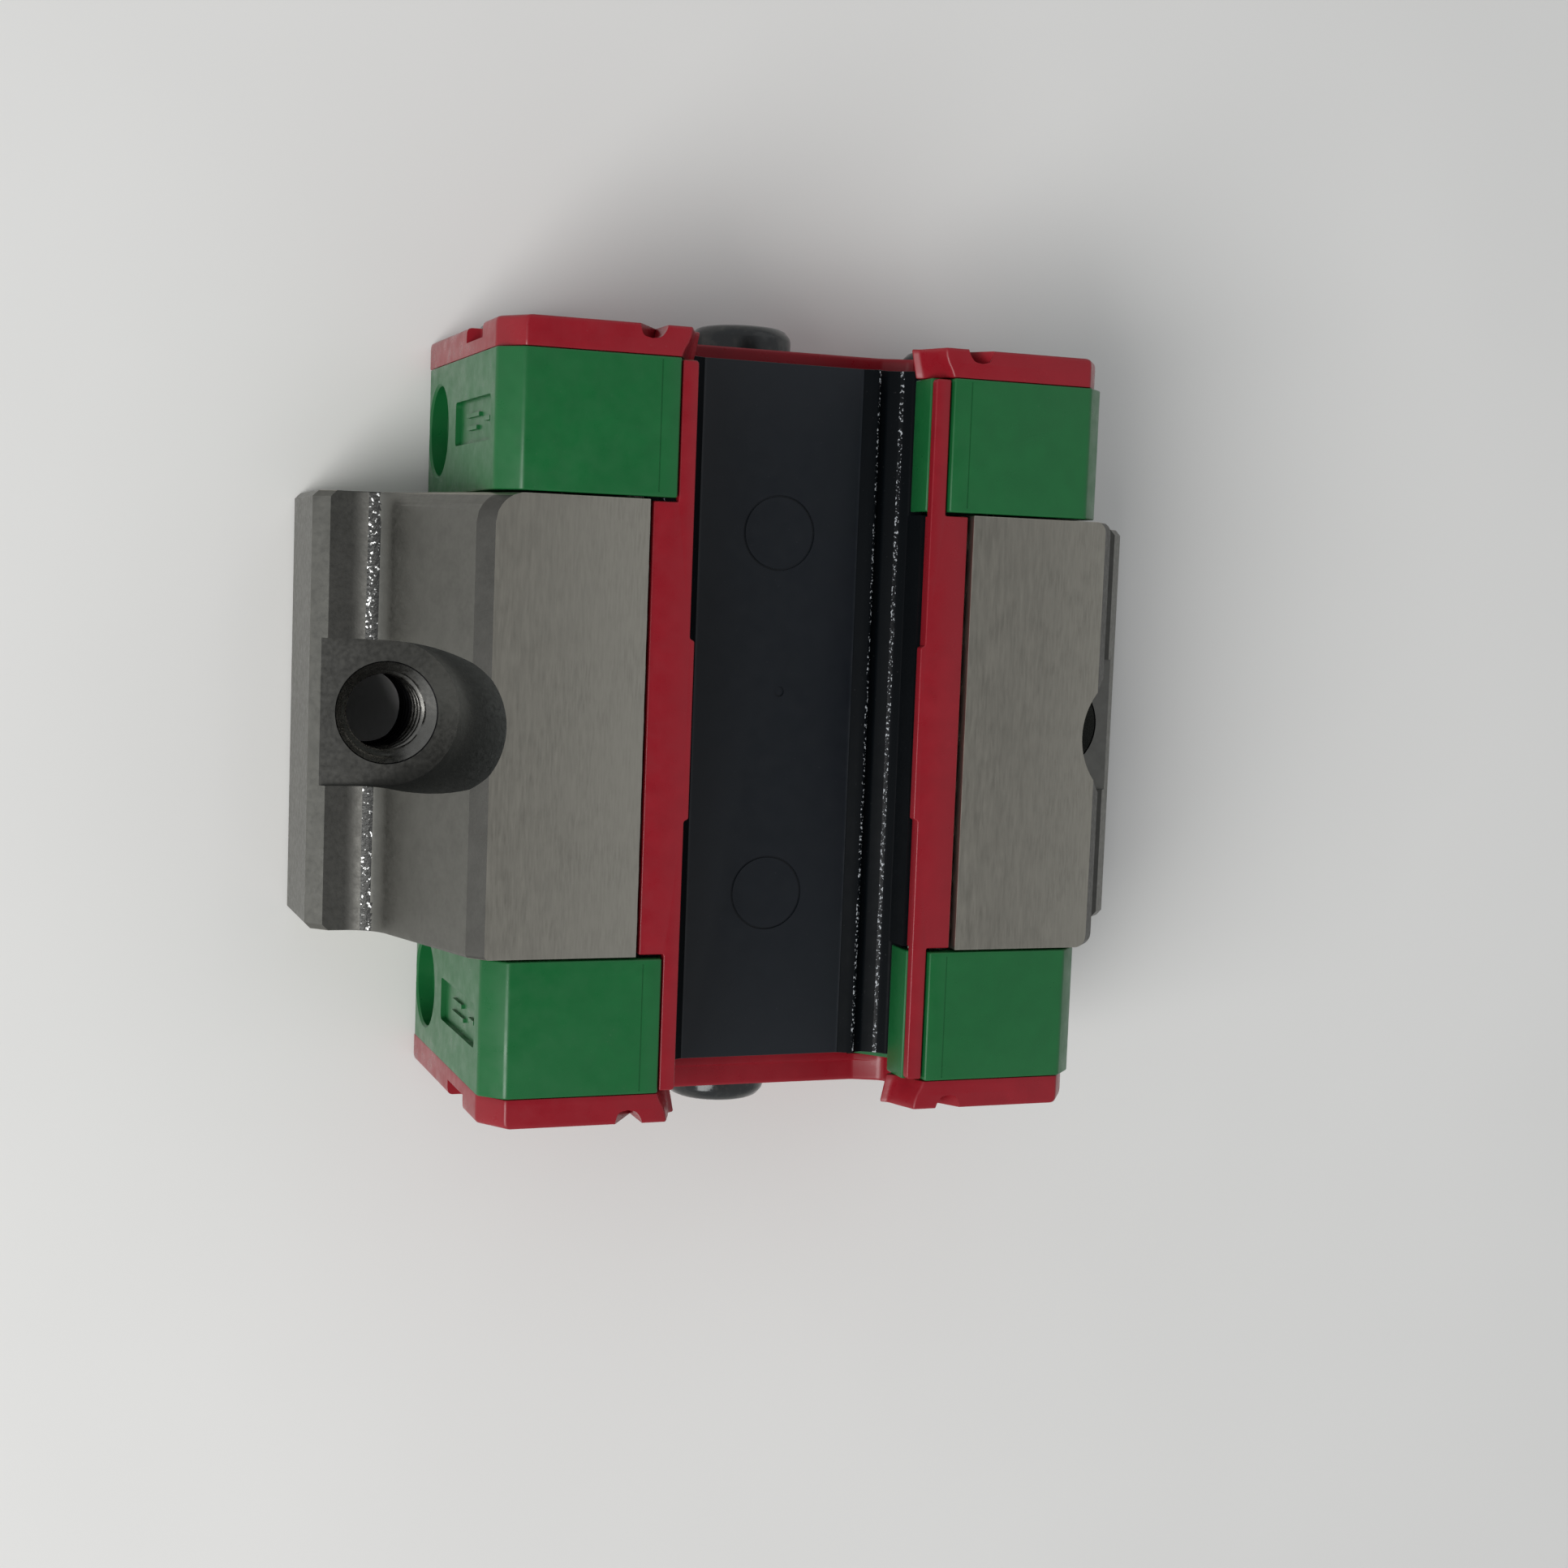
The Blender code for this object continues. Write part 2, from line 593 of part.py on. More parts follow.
def make_end_seals():
    collar_half, collar_base, collar_start = COLLAR
    collar = both_sides([(0.0, collar_base), (collar_half, collar_base), (collar_half, SEAL_CEILING),
                         (0.0, SEAL_CEILING)])
    scoop = [(12.0 + 0.1, SEAL_TOP + 0.15), (10.2, 18.9), (9.8, SEAL_TOP + 0.15)]
    for end_name, end in ENDS.items():
        outline = both_sides(seal_half_outline())
        seal = prism(f"end_seal_{end_name}", outline, end * SEAL_INNER, end * SEAL_OUTER, RED)
        boolean(seal, prism(f"seal_collar_{end_name}", collar, end * collar_start, end * (SEAL_INNER + 0.5)), "UNION")
        for side_name, side in SIDES.items():
            name = f"{end_name}_{side_name}"
            notch_x = (side * (SEAL_HALF - NOTCH_DEPTH), side * (SEAL_HALF + NUDGE))
            notch_y = (end * NOTCH_START, end * (SEAL_OUTER + NUDGE))
            boolean(seal, box_between(f"seal_notch_{name}", notch_x, notch_y, NOTCH_Z))
            pocket = prism(f"seal_scoop_{name}", place(scoop, side), end * SCOOP_START, end * (SEAL_OUTER + NUDGE))
            boolean(seal, pocket)
            start = (side * SCREW_X, end * CAP_OUTER, SCREW_Z)
            boolean(seal, cylinder(f"seal_screw_way_{name}", SCREW_WAY, start, (0, end, 0), 3.0, 12))
        start = (0.0, end * CAP_OUTER, PLUG_Z)
        boolean(seal, cylinder(f"seal_grease_way_{end_name}", GREASE_BORE, start, (0, end, 0), 3.0, 16))


# ---- bottom seal strips -----------------------------------------------------------------------------

def strip_inner_edge():
    """The wiping edge from end to end, stepped in towards the rail in its middle."""
    end = TONGUE_TIP - 0.4
    half = [(STRIP_LIP_MIDDLE, STRIP_STEP), (STRIP_LIP, STRIP_STEP + 0.15), (STRIP_LIP, end)]
    return [(x, -y) for x, y in reversed(half)] + half


def make_strips():
    outer = [(TONGUE_EDGE, TONGUE_TIP), (TONGUE_EDGE, STRIP_WIDE_END), (STRIP_EDGE, STRIP_WIDE_END)]
    outer += [(x, -y) for x, y in reversed(outer)]
    corner = [(STRIP_LIP + 0.4, TONGUE_TIP)]
    outline = strip_inner_edge() + corner + outer + [(x, -y) for x, y in corner]
    for side_name, side in SIDES.items():
        slab(f"bottom_seal_{side_name}", place(outline, side), STRIP_BASE, STRIP_TOP, RED)


# ---- grease plugs and screws ------------------------------------------------------------------------

def make_plugs():
    base = SEAL_OUTER + GAP / 2
    head = PLUG_END - base
    profile = [(0.0, head), (PLUG_RADIUS - 0.7, head), (PLUG_RADIUS, head - 0.7), (PLUG_RADIUS, 0.0), (2.5, 0.0),
               (2.5, -4.0), (1.9, -4.6), (0.0, -4.6)]
    for end_name, end in ENDS.items():
        matrix = Matrix.Translation(Vector((0.0, end * base, PLUG_Z)) * MM) @ pointing((0, end, 0))
        turned(f"grease_plug_{end_name}", profile, 20, matrix, BLACK_STEEL)


def make_cap_screws():
    head = 1.6
    profile = [(0.0, head), (1.6, head - 0.1), (2.3, head - 0.5), (2.6, 0.3), (2.6, 0.0), (1.5, 0.0), (1.5, -9.0),
               (1.25, -9.2), (1.25, -15.6), (0.0, -16.0)]
    for end_name, end in ENDS.items():
        for side_name, side in SIDES.items():
            name = f"cap_screw_{end_name}_{side_name}"
            matrix = Matrix.Translation(Vector((side * SCREW_X, end * (SEAL_OUTER + GAP / 2), SCREW_Z)) * MM)
            screw = turned(name, profile, 12, matrix @ pointing((0, end, 0)), BLACK_STEEL)
            for turn in (0, 1):
                slot = box(f"{name}_slot_{turn}", (-1.4, -0.25, head - 0.7), (1.4, 0.25, head + 0.4))
                slot.data.transform(matrix @ pointing((0, end, 0)) @ Matrix.Rotation(turn * math.pi / 2, 4, "Z"))
                boolean(screw, slot)


# ---- shipping rail ----------------------------------------------------------------------------------

def dummy_half_outline():
    """A shallow trough with two low ridges on each side, and wings that reach between the ball rows."""
    upper_x, upper_z = LOADED["upper"]
    top_angle = 180.0 + math.degrees(math.asin((upper_z - DUMMY_TOP) / DUMMY_GROOVE))
    outer = [(0.0, DUMMY_TOP)] + arc((upper_x, upper_z), DUMMY_GROOVE, top_angle, 118.0, 5)
    wing = [(DUMMY_WING, 15.95), (DUMMY_WING, 16.5), (8.75, 16.35), (8.45, 15.95)]
    ridges = [(8.2, DUMMY_RIDGE + 0.05), (7.85, 15.5), (7.3, DUMMY_FLOOR + 0.05), (6.9, 15.4), (6.6, DUMMY_RIDGE),
              (6.1, 15.45), (5.55, DUMMY_FLOOR)]
    return outer + wing + ridges + [(0.0, DUMMY_FLOOR)]


def make_shipping_rail():
    half = DUMMY_LENGTH / 2
    rail = prism("shipping_rail", both_sides(dummy_half_outline()), -half, half, GLOSS_BLACK)
    rail.location = (0.0, DUMMY_SHIFT * MM, 0.0)
    for sign in (-1, 1):
        start = (0.0, DUMMY_SHIFT + sign * MARK_OFFSET, DUMMY_FLOOR - 0.15)
        boolean(rail, cylinder(f"mould_mark_{sign + 1}", MARK_RADIUS, start, (0, 0, 1), 1.0, 24))


# ---- balls ------------------------------------------------------------------------------------------

def ball_row_profile(count, arcs):
    """Half circles in a line, joined by thin necks, from the top ball to the bottom one."""
    radius = BALL / 2
    neck = math.asin(NECK_RADIUS / radius)
    profile = [(0.0, (count - 1) / 2 * BALL_PITCH + radius)]
    for i in range(count):
        center = ((count - 1) / 2 - i) * BALL_PITCH
        for j in range(arcs + 1):
            if (i == 0 and j == 0) or (i == count - 1 and j == arcs):
                continue
            angle = neck + (math.pi - 2 * neck) * j / arcs
            profile.append((radius * math.sin(angle), center + radius * math.cos(angle)))
    profile.append((0.0, -(count - 1) / 2 * BALL_PITCH - radius))
    return profile


def make_ball_rows():
    for level, side_name, side in circuits():
        x, z = loaded_place(level, side)
        matrix = Matrix.Translation(Vector((x, 0.0, z)) * MM) @ pointing((0, 1, 0))
        turned(f"loaded_balls_{level}_{side_name}", ball_row_profile(BALLS_IN_ROW, 5), 10, matrix, BALL_STEEL)
        x, z = return_place(level, side)
        matrix = Matrix.Translation(Vector((x, 0.0, z)) * MM) @ pointing((0, 1, 0))
        turned(f"return_balls_{level}_{side_name}", ball_row_profile(BALLS_IN_ROW, 4), 8, matrix, BALL_STEEL)


def turn_neck_mesh(angles):
    """A thin bent wire through the middles of a turn's balls."""
    curve = bpy.data.curves.new("turn_neck", "CURVE")
    curve.dimensions = "3D"
    curve.bevel_depth = NECK_RADIUS * MM
    curve.bevel_resolution = 1
    curve.use_fill_caps = True
    spline = curve.splines.new("POLY")
    spline.points.add(len(angles) - 1)
    for point, angle in zip(spline.points, angles):
        place_on_turn = Vector((-math.cos(angle), math.sin(angle), 0.0)) * TURN_RADIUS * MM
        point.co = (*place_on_turn, 1.0)
    return mesh_of_curve(curve, Matrix.Identity(4))


def make_turn_balls():
    angles = [math.radians(90.0 + TURN_STEP * i) for i in (-1, 0, 1)]
    for end_name, end in ENDS.items():
        for level, side_name, side in circuits():
            matrix = turn_matrix(level, side, end)
            name = f"turn_balls_{end_name}_{level}_{side_name}"
            group = add_object(name, turn_neck_mesh(angles), BALL_STEEL)
            group.matrix_world = matrix
            for i, angle in enumerate(angles):
                bm = bmesh.new()
                bmesh.ops.create_uvsphere(bm, u_segments=8, v_segments=6, radius=BALL / 2 * MM)
                center = Vector((-math.cos(angle), math.sin(angle), 0.0)) * TURN_RADIUS * MM
                bmesh.ops.rotate(bm, verts=bm.verts, matrix=Matrix.Rotation(0.2, 3, "X"))
                bmesh.ops.translate(bm, verts=bm.verts, vec=center)
                mesh = bpy.data.meshes.new(f"{name}_ball_{i}")
                bm.to_mesh(mesh)
                bm.free()
                mesh.transform(matrix)
                boolean(group, add_object(f"{name}_ball_{i}", mesh), "UNION")


make_block()
make_retainers()
make_return_tubes()
make_end_caps()
make_return_guides()
make_end_seals()
make_strips()
make_plugs()
make_cap_screws()
make_shipping_rail()
make_ball_rows()
make_turn_balls()
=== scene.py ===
import json
import math

import bmesh
import bpy
from mathutils import Matrix, Vector


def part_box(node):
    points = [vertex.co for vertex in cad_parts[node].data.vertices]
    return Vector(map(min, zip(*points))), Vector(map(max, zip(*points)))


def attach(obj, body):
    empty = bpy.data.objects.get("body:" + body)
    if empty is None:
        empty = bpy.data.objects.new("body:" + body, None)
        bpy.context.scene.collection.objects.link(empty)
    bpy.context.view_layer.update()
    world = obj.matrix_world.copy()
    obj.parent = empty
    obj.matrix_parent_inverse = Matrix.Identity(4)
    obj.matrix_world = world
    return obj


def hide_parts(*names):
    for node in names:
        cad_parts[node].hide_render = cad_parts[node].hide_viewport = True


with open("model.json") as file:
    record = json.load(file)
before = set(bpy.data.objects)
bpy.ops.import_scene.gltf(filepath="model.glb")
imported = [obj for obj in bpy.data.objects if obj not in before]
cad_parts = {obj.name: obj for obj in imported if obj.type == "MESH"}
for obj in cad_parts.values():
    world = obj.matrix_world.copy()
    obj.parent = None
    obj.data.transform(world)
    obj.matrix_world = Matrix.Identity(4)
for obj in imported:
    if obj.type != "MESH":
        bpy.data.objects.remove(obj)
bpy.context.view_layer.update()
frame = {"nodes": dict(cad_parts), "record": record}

MM = 0.001
SIDES = {"left": -1, "right": 1}
ENDS = {"front": -1, "rear": 1}


def low(node, axis):
    """The least place of a CAD node along an axis, in millimetres."""
    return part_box(node)[0][axis] / MM


def high(node, axis):
    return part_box(node)[1][axis] / MM


BLOCK_HALF = high("carriage_block", 1)
BLOCK_EDGE = high("carriage_block", 0)
LEG_TOP = high("carriage_block", 2)
CAP_HALF = high("end_cap_rear", 0)
CAP_INNER = low("end_cap_rear", 1)
CAP_OUTER = high("end_cap_rear", 1)
CAP_BASE = low("end_cap_rear", 2)
CAP_TOP = high("end_cap_rear", 2)
SEAL_INNER = CAP_OUTER + 0.05
SEAL_OUTER = high("end_seal_rear", 1)
SEAL_HALF = high("end_seal_rear", 0)
SEAL_TOP = high("end_seal_rear", 2)
SEAL_BASE = low("end_seal_rear", 2)
STRIP_BASE = low("bottom_seal_right", 2)
STRIP_TOP = high("bottom_seal_right", 2)
PLUG_END = high("grease_plug_rear", 1)
RAIL_REAR = high("shipping_rail", 1)
RAIL_FRONT = low("shipping_rail", 1)
BALL = 3.175
PITCH = 3.2
ROW_BALLS = 9
TURN = 2.9
TURN_STEP = 67.5
LOADED = {"upper": (9.55, 13.9), "lower": (9.9, 18.7)}
TILT = {"upper": -45.0, "lower": -6.0}
TURN_START = 15.1
BOLT_X = 24.5
PORT_Y, PORT_Z = 18.75, 4.15
PLUG_Z = 6.0
PLUG_CLEARANCE = 2.7
SCREW_X, SCREW_Z = 15.5, 4.6
SCREW_BORE = 1.6
SCREW_CLEARANCE = 1.7
HEAD_GAP = 0.1
# Edges that bend by more degrees than SHARP are shaded sharp. After a cut, vertices nearer than WELD are merged
# and edges shorter than SPECK are dissolved, both in millimetres.
SHARP = 32.0
WELD = 0.002
SPECK = 0.001


# ---- shapes --------------------------------------------------------------------------------------------------

def arc(center, radius, start, end, steps):
    turn = [math.radians(start + (end - start) * i / steps) for i in range(steps + 1)]
    return [(center[0] + radius * math.cos(a), center[1] + radius * math.sin(a)) for a in turn]


def both_sides(half):
    return half + [(-x, z) for x, z in reversed(half) if x > 1e-9]


def place(outline, side):
    return outline if side > 0 else [(-x, z) for x, z in reversed(outline)]


def rounded(outline, radius, steps=3, least=25.0):
    """The outline with every corner sharper than a limit turned into a short curve."""
    out = []
    count = len(outline)
    for i, point in enumerate(outline):
        p = Vector(point)
        before = Vector(outline[i - 1]) - p
        after = Vector(outline[(i + 1) % count]) - p
        reach_in = min(radius, before.length * 0.45, after.length * 0.45)
        if math.degrees(before.angle(-after)) < least:
            out.append(point)
            continue
        a = p + before.normalized() * reach_in
        b = p + after.normalized() * reach_in
        for j in range(steps + 1):
            t = j / steps
            q = a * (1 - t) ** 2 + p * 2 * t * (1 - t) + b * t ** 2
            out.append((q.x, q.y))
    return out


def inset(outline, distance):
    """The outline moved inwards by a small distance."""
    area = sum(a[0] * b[1] - b[0] * a[1] for a, b in zip(outline, outline[1:] + outline[:1]))
    turn = 1 if area > 0 else -1
    out = []
    count = len(outline)
    for i, (x, y) in enumerate(outline):
        normals = []
        for a, b in ((outline[i - 1], (x, y)), ((x, y), outline[(i + 1) % count])):
            d = Vector((b[0] - a[0], b[1] - a[1]))
            if d.length > 1e-9:
                d.normalize()
                normals.append(Vector((d.y, -d.x)) * turn)
        n = sum(normals, Vector((0.0, 0.0)))
        n *= distance / max(0.35, n.length_squared / 2)
        out.append((x - n.x, y - n.y))
    return out


def mesh_object(name, bm, sharp=SHARP):
    bmesh.ops.recalc_face_normals(bm, faces=bm.faces)
    bm.normal_update()
    bmesh.ops.triangulate(bm, faces=bm.faces)
    mesh = bpy.data.meshes.new(name)
    bm.to_mesh(mesh)
    bm.free()
    mesh.shade_smooth()
    mesh.set_sharp_from_angle(angle=math.radians(sharp))
    obj = bpy.data.objects.new(name, mesh)
    bpy.context.scene.collection.objects.link(obj)
    return obj


def bridge(bm, rows):
    """Faces between each row of vertices and the next; a row closes on itself."""
    for near, far in zip(rows, rows[1:]):
        for i in range(len(near)):
            j = (i + 1) % len(near)
            bm.faces.new((near[i], near[j], far[j], far[i]))


def skin(name, rings, sharp=SHARP):
    """A solid through rings of as many points each, with its two ends filled."""
    bm = bmesh.new()
    rows = [[bm.verts.new([c * MM for c in point]) for point in ring] for ring in rings]
    bridge(bm, rows)
    bm.faces.new(rows[0])
    bm.faces.new(rows[-1])
    return mesh_object(name, bm, sharp)


def along_y(outline, y):
    return [(x, y, z) for x, z in outline]


EDGE_STEPS = (0.0, 0.13, 0.5, 1.0)


def edge_inset(edge, t):
    """How far a rounded edge has drawn in, at this part of its depth."""
    return edge * (1 - math.sqrt(1 - (1 - t) ** 2))


def prism(name, outline, y_from, y_to, edge):
    """An X-Z outline drawn out along Y, with its end edges rounded."""
    near, far = sorted((y_from, y_to))
    if edge == 0:
        rings = [along_y(outline, near), along_y(outline, far)]
    else:
        rings = [along_y(inset(outline, edge_inset(edge, t)), near + edge * t) for t in EDGE_STEPS]
        rings += [[(x, near + far - y, z) for x, y, z in ring] for ring in reversed(rings)]
    return skin(name, rings)


def slab(name, outline, z_from, z_to, edge):
    """An X-Y outline drawn out along Z, with its top edge rounded."""
    rings = [[(x, y, z_from) for x, y in outline]]
    for t in reversed(EDGE_STEPS):
        ring = inset(outline, edge_inset(edge, t)) if edge else outline
        rings.append([(x, y, z_to - edge * t) for x, y in ring])
    return skin(name, rings)


def block_of(name, x, y, z):
    (x0, x1), (y0, y1), (z0, z1) = sorted(x), sorted(y), sorted(z)
    return prism(name, [(x0, z0), (x1, z0), (x1, z1), (x0, z1)], y0, y1, 0)


def turned(name, profile, start, axis, steps, sharp=SHARP):
    """A (radius, height) profile swept round an axis; its first and last radius are closed with a face."""
    to_axis = Vector((0, 0, 1)).rotation_difference(Vector(axis)).to_matrix()
    rings = []
    for radius, height in profile:
        ring = []
        for i in range(steps):
            a = 2 * math.pi * i / steps
            p = to_axis @ Vector((radius * math.cos(a), radius * math.sin(a), height)) + Vector(start)
            ring.append(tuple(p))
        rings.append(ring)
    return skin(name, rings, sharp=sharp)


def rod(name, radius, start, axis, length, steps=48):
    return turned(name, [(radius, 0.0), (radius, length)], start, axis, steps)


def torus(name, major, minor, matrix):
    major_steps, minor_steps = 40, 20
    bm = bmesh.new()
    rows = []
    for i in range(major_steps):
        a = 2 * math.pi * i / major_steps
        row = []
        for j in range(minor_steps):
            b = 2 * math.pi * j / minor_steps
            r = major + minor * math.cos(b)
            p = matrix @ (Vector((r * math.cos(a), r * math.sin(a), minor * math.sin(b))) * MM)
            row.append(bm.verts.new(p))
        rows.append(row)
    for i in range(major_steps):
        for j in range(minor_steps):
            k, m = (i + 1) % major_steps, (j + 1) % minor_steps
            bm.faces.new((rows[i][j], rows[k][j], rows[k][m], rows[i][m]))
    return mesh_object(name, bm)


def cut(obj, cutters, operation="DIFFERENCE", sharp=SHARP):
    """The object with its cutters taken away, or added, for good."""
    for cutter in cutters:
        modifier = obj.modifiers.new("cut", "BOOLEAN")
        modifier.operation = operation
        modifier.object = cutter
        modifier.solver = "EXACT"
    graph = bpy.context.evaluated_depsgraph_get()
    mesh = bpy.data.meshes.new_from_object(obj.evaluated_get(graph))
    obj.modifiers.clear()
    obj.data = mesh
    for cutter in cutters:
        bpy.data.objects.remove(cutter)
    bm = bmesh.new()
    bm.from_mesh(mesh)
    bmesh.ops.remove_doubles(bm, verts=bm.verts, dist=WELD * MM)
    bmesh.ops.dissolve_degenerate(bm, edges=bm.edges, dist=SPECK * MM)
    bm.to_mesh(mesh)
    bm.free()
    mesh.shade_smooth()
    mesh.set_sharp_from_angle(angle=math.radians(sharp))
    return obj


# ---- materials -----------------------------------------------------------------------------------------------

RANGE_SOCKETS = ("From Min", "From Max", "To Min", "To Max")
NOISE_LOW, NOISE_HIGH = 0.3, 0.7


class Finish:
    """A Principled material whose colour, roughness and bump come from noise in the object's own space."""

    def __init__(self, name, color, roughness, metallic=0.0, **sockets):
        self.material = bpy.data.materials.new(name)
        self.material.use_nodes = True
        self.tree = self.material.node_tree
        self.shader = self.tree.nodes["Principled BSDF"]
        self.shader.inputs["Metallic"].default_value = metallic
        for socket, value in sockets.items():
            self.shader.inputs[socket.replace("_", " ")].default_value = value
        self.place = self.tree.nodes.new("ShaderNodeTexCoord").outputs["Object"]
        self.color = self.shade(color)
        self.shader.inputs["Base Color"].default_value = (*color, 1.0)
        self.shader.inputs["Roughness"].default_value = roughness
        self.normal = None

    def shade(self, color):
        node = self.tree.nodes.new("ShaderNodeRGB")
        node.outputs[0].default_value = (*color, 1.0)
        return node.outputs[0]

    def noise(self, scale, detail=3.0, roughness=0.55, shift=0.0):
        """Noise with this many features per millimetre along X, Y and Z."""
        mapping = self.tree.nodes.new("ShaderNodeMapping")
        mapping.inputs["Location"].default_value = (shift, shift * 1.7, -shift)
        scale = scale if isinstance(scale, tuple) else (scale,) * 3
        mapping.inputs["Scale"].default_value = [s / MM for s in scale]
        self.tree.links.new(self.place, mapping.inputs["Vector"])
        noise = self.tree.nodes.new("ShaderNodeTexNoise")
        noise.inputs["Scale"].default_value = 1.0
        noise.inputs["Detail"].default_value = detail
        noise.inputs["Roughness"].default_value = roughness
        self.tree.links.new(mapping.outputs[0], noise.inputs["Vector"])
        return noise.outputs["Fac"]

    def spread(self, value, low, high, to_low, to_high):
        node = self.tree.nodes.new("ShaderNodeMapRange")
        for socket, number in zip(RANGE_SOCKETS, (low, high, to_low, to_high)):
            node.inputs[socket].default_value = number
        self.tree.links.new(value, node.inputs["Value"])
        return node.outputs["Result"]

    def tint(self, value, color, low=0.35, high=0.65, amount=1.0):
        """Another colour where the noise is high."""
        node = self.tree.nodes.new("ShaderNodeMix")
        node.data_type = "RGBA"
        self.tree.links.new(self.spread(value, low, high, 0.0, amount), node.inputs["Factor"])
        self.tree.links.new(self.color, node.inputs["A"])
        node.inputs["B"].default_value = (*color, 1.0)
        self.color = node.outputs["Result"]
        self.tree.links.new(self.color, self.shader.inputs["Base Color"])
        return self

    def rough(self, value, to_low, to_high):
        spread = self.spread(value, NOISE_LOW, NOISE_HIGH, to_low, to_high)
        self.tree.links.new(spread, self.shader.inputs["Roughness"])
        return self

    def bump(self, value, height):
        """Bump of this height in millimetres."""
        node = self.tree.nodes.new("ShaderNodeBump")
        node.inputs["Strength"].default_value = 1.0
        node.inputs["Distance"].default_value = height * MM
        self.tree.links.new(value, node.inputs["Height"])
        if self.normal is not None:
            self.tree.links.new(self.normal, node.inputs["Normal"])
        self.normal = node.outputs["Normal"]
        self.tree.links.new(self.normal, self.shader.inputs["Normal"])
        return self


def times(color, factor):
    return tuple(min(1.0, c * factor) for c in color)


def steel(name, color, low, high, grain, height, streak=0.0):
    """Bare steel: blotches, fine grain and, where it was ground, streaks along Y."""
    f = Finish(name, color, (low + high) / 2, 1.0)
    f.tint(f.noise(0.10, 4.0), times(color, 0.88))
    f.tint(f.noise(0.8, 4.0, shift=4.0), times(color, 1.14), amount=0.6)
    f.rough(f.noise((4.0, 0.5, 4.0) if streak else 3.0, shift=3.0), low, high)
    if streak:
        streaks = f.noise((8.0, 0.8, 8.0))
        f.tint(streaks, times(color, 1.12)).bump(streaks, streak)
    return f.bump(f.noise(grain, 4.0, 0.65), height).material


def fillet_steel():
    """Very dark steel with near-white specks painted into its colour: painted glints along the fillet."""
    f = Finish("fillet_steel", (0.045, 0.045, 0.043), 0.4, 1.0)
    f.tint(f.noise(3.5, 3.0), (0.8, 0.8, 0.78), 0.61, 0.67).rough(f.noise(6.0), 0.32, 0.5)
    return f.bump(f.noise(4.0, 5.0), 0.05).material


def plastic(name, color, low, high, grain, height, **sockets):
    """A moulded finish: faint flow marks, fine grain and a little dust."""
    f = Finish(name, color, (low + high) / 2, 0.0, **sockets)
    f.tint(f.noise(0.12, 4.0), times(color, 1.08)).tint(f.noise(0.6, 5.0, shift=5.0), times(color, 0.96))
    f.tint(f.noise(5.0, 2.0, shift=9.0), tuple(0.85 * c + 0.05 for c in color), 0.70, 0.8, 0.35)
    f.rough(f.noise(0.8, 4.0, shift=2.0), low, high)
    return f.bump(f.noise(grain, 3.0), height).bump(f.noise(0.25, 2.0), 0.003).material


def glint_plastic():
    """Dull black with fine bright specks painted into its colour: painted glints along the rail's crests."""
    f = Finish("glint_plastic", (0.003, 0.004, 0.005), 0.45, Specular_IOR_Level=0.1)
    f.tint(f.noise((7.0, 5.0, 7.0), 2.0), (0.42, 0.44, 0.46), 0.57, 0.63)
    return f.rough(f.noise(6.0), 0.3, 0.45).bump(f.noise(5.0), 0.02).material


def ball_steel():
    f = Finish("ball_steel", (0.6, 0.6, 0.6), 0.1, 1.0)
    return f.rough(f.noise(2.0), 0.06, 0.14).tint(f.noise(0.8), (0.5, 0.5, 0.5)).material


def black_oxide():
    f = Finish("black_oxide_steel", (0.03, 0.032, 0.032), 0.16, 0.5)
    f.tint(f.noise(1.5, 5.0), (0.06, 0.06, 0.055), 0.5, 0.8).rough(f.noise(3.0), 0.10, 0.24)
    return f.bump(f.noise(6.0), 0.003).material


MATERIALS = {
    "ground_steel": steel("ground_steel", (0.35, 0.33, 0.282), 0.37, 0.43, 9.0, 0.0005, 0.0006),
    # Painted shade: a darker steel for the block's faces that look sideways.
    "shaded_side_steel": steel("shaded_side_steel", (0.155, 0.153, 0.138), 0.36, 0.50, 2.0, 0.004),
    "rolled_steel": steel("rolled_steel", (0.095, 0.093, 0.085), 0.45, 0.6, 3.0, 0.010),
    "milled_floor": steel("milled_floor", (0.165, 0.162, 0.148), 0.36, 0.5, 2.5, 0.003),
    # Painted shade: the reliefs' side walls get a darker copy of the milled floor's steel.
    "shaded_milled_wall": steel("shaded_milled_wall", (0.09, 0.096, 0.093), 0.36, 0.5, 2.5, 0.003),
    # Painted shade: near-black steel for the darkness deep in the bolt holes.
    "shaded_bore_steel": steel("shaded_bore_steel", (0.014, 0.014, 0.015), 0.4, 0.5, 2.0, 0.002),
    "thread_steel": steel("thread_steel", (0.20, 0.195, 0.18), 0.2, 0.34, 3.0, 0.004),
    "fillet_steel": fillet_steel(),
    "green_plastic": plastic(
        "green_plastic", (0.007, 0.105, 0.027), 0.26, 0.42, 6.0, 0.0020, Specular_IOR_Level=0.38),
    "red_elastomer": plastic(
        "red_elastomer", (0.235, 0.008, 0.015), 0.24, 0.40, 5.0, 0.0025, Specular_IOR_Level=0.35),
    "black_plastic": plastic(
        "black_plastic", (0.003, 0.004, 0.005), 0.34, 0.5, 6.0, 0.003, Specular_IOR_Level=0.15),
    "black_gloss_plastic": plastic(
        "black_gloss_plastic", (0.004, 0.006, 0.009), 0.3, 0.42, 4.5, 0.003, Specular_IOR_Level=0.38),
    # Painted shade: a darker copy of the rail's gloss plastic, almost without reflection, for the rail's sloped
    # walls.
    "shaded_ridge_plastic": plastic(
        "shaded_ridge_plastic", (0.002, 0.003, 0.004), 0.45, 0.55, 4.5, 0.002, Specular_IOR_Level=0.06),
    "glint_plastic": glint_plastic(),
    "ivory_plastic": plastic("ivory_plastic", (0.62, 0.58, 0.48), 0.4, 0.55, 5.0, 0.002),
    "ball_steel": ball_steel(),
    "black_oxide_steel": black_oxide(),
}


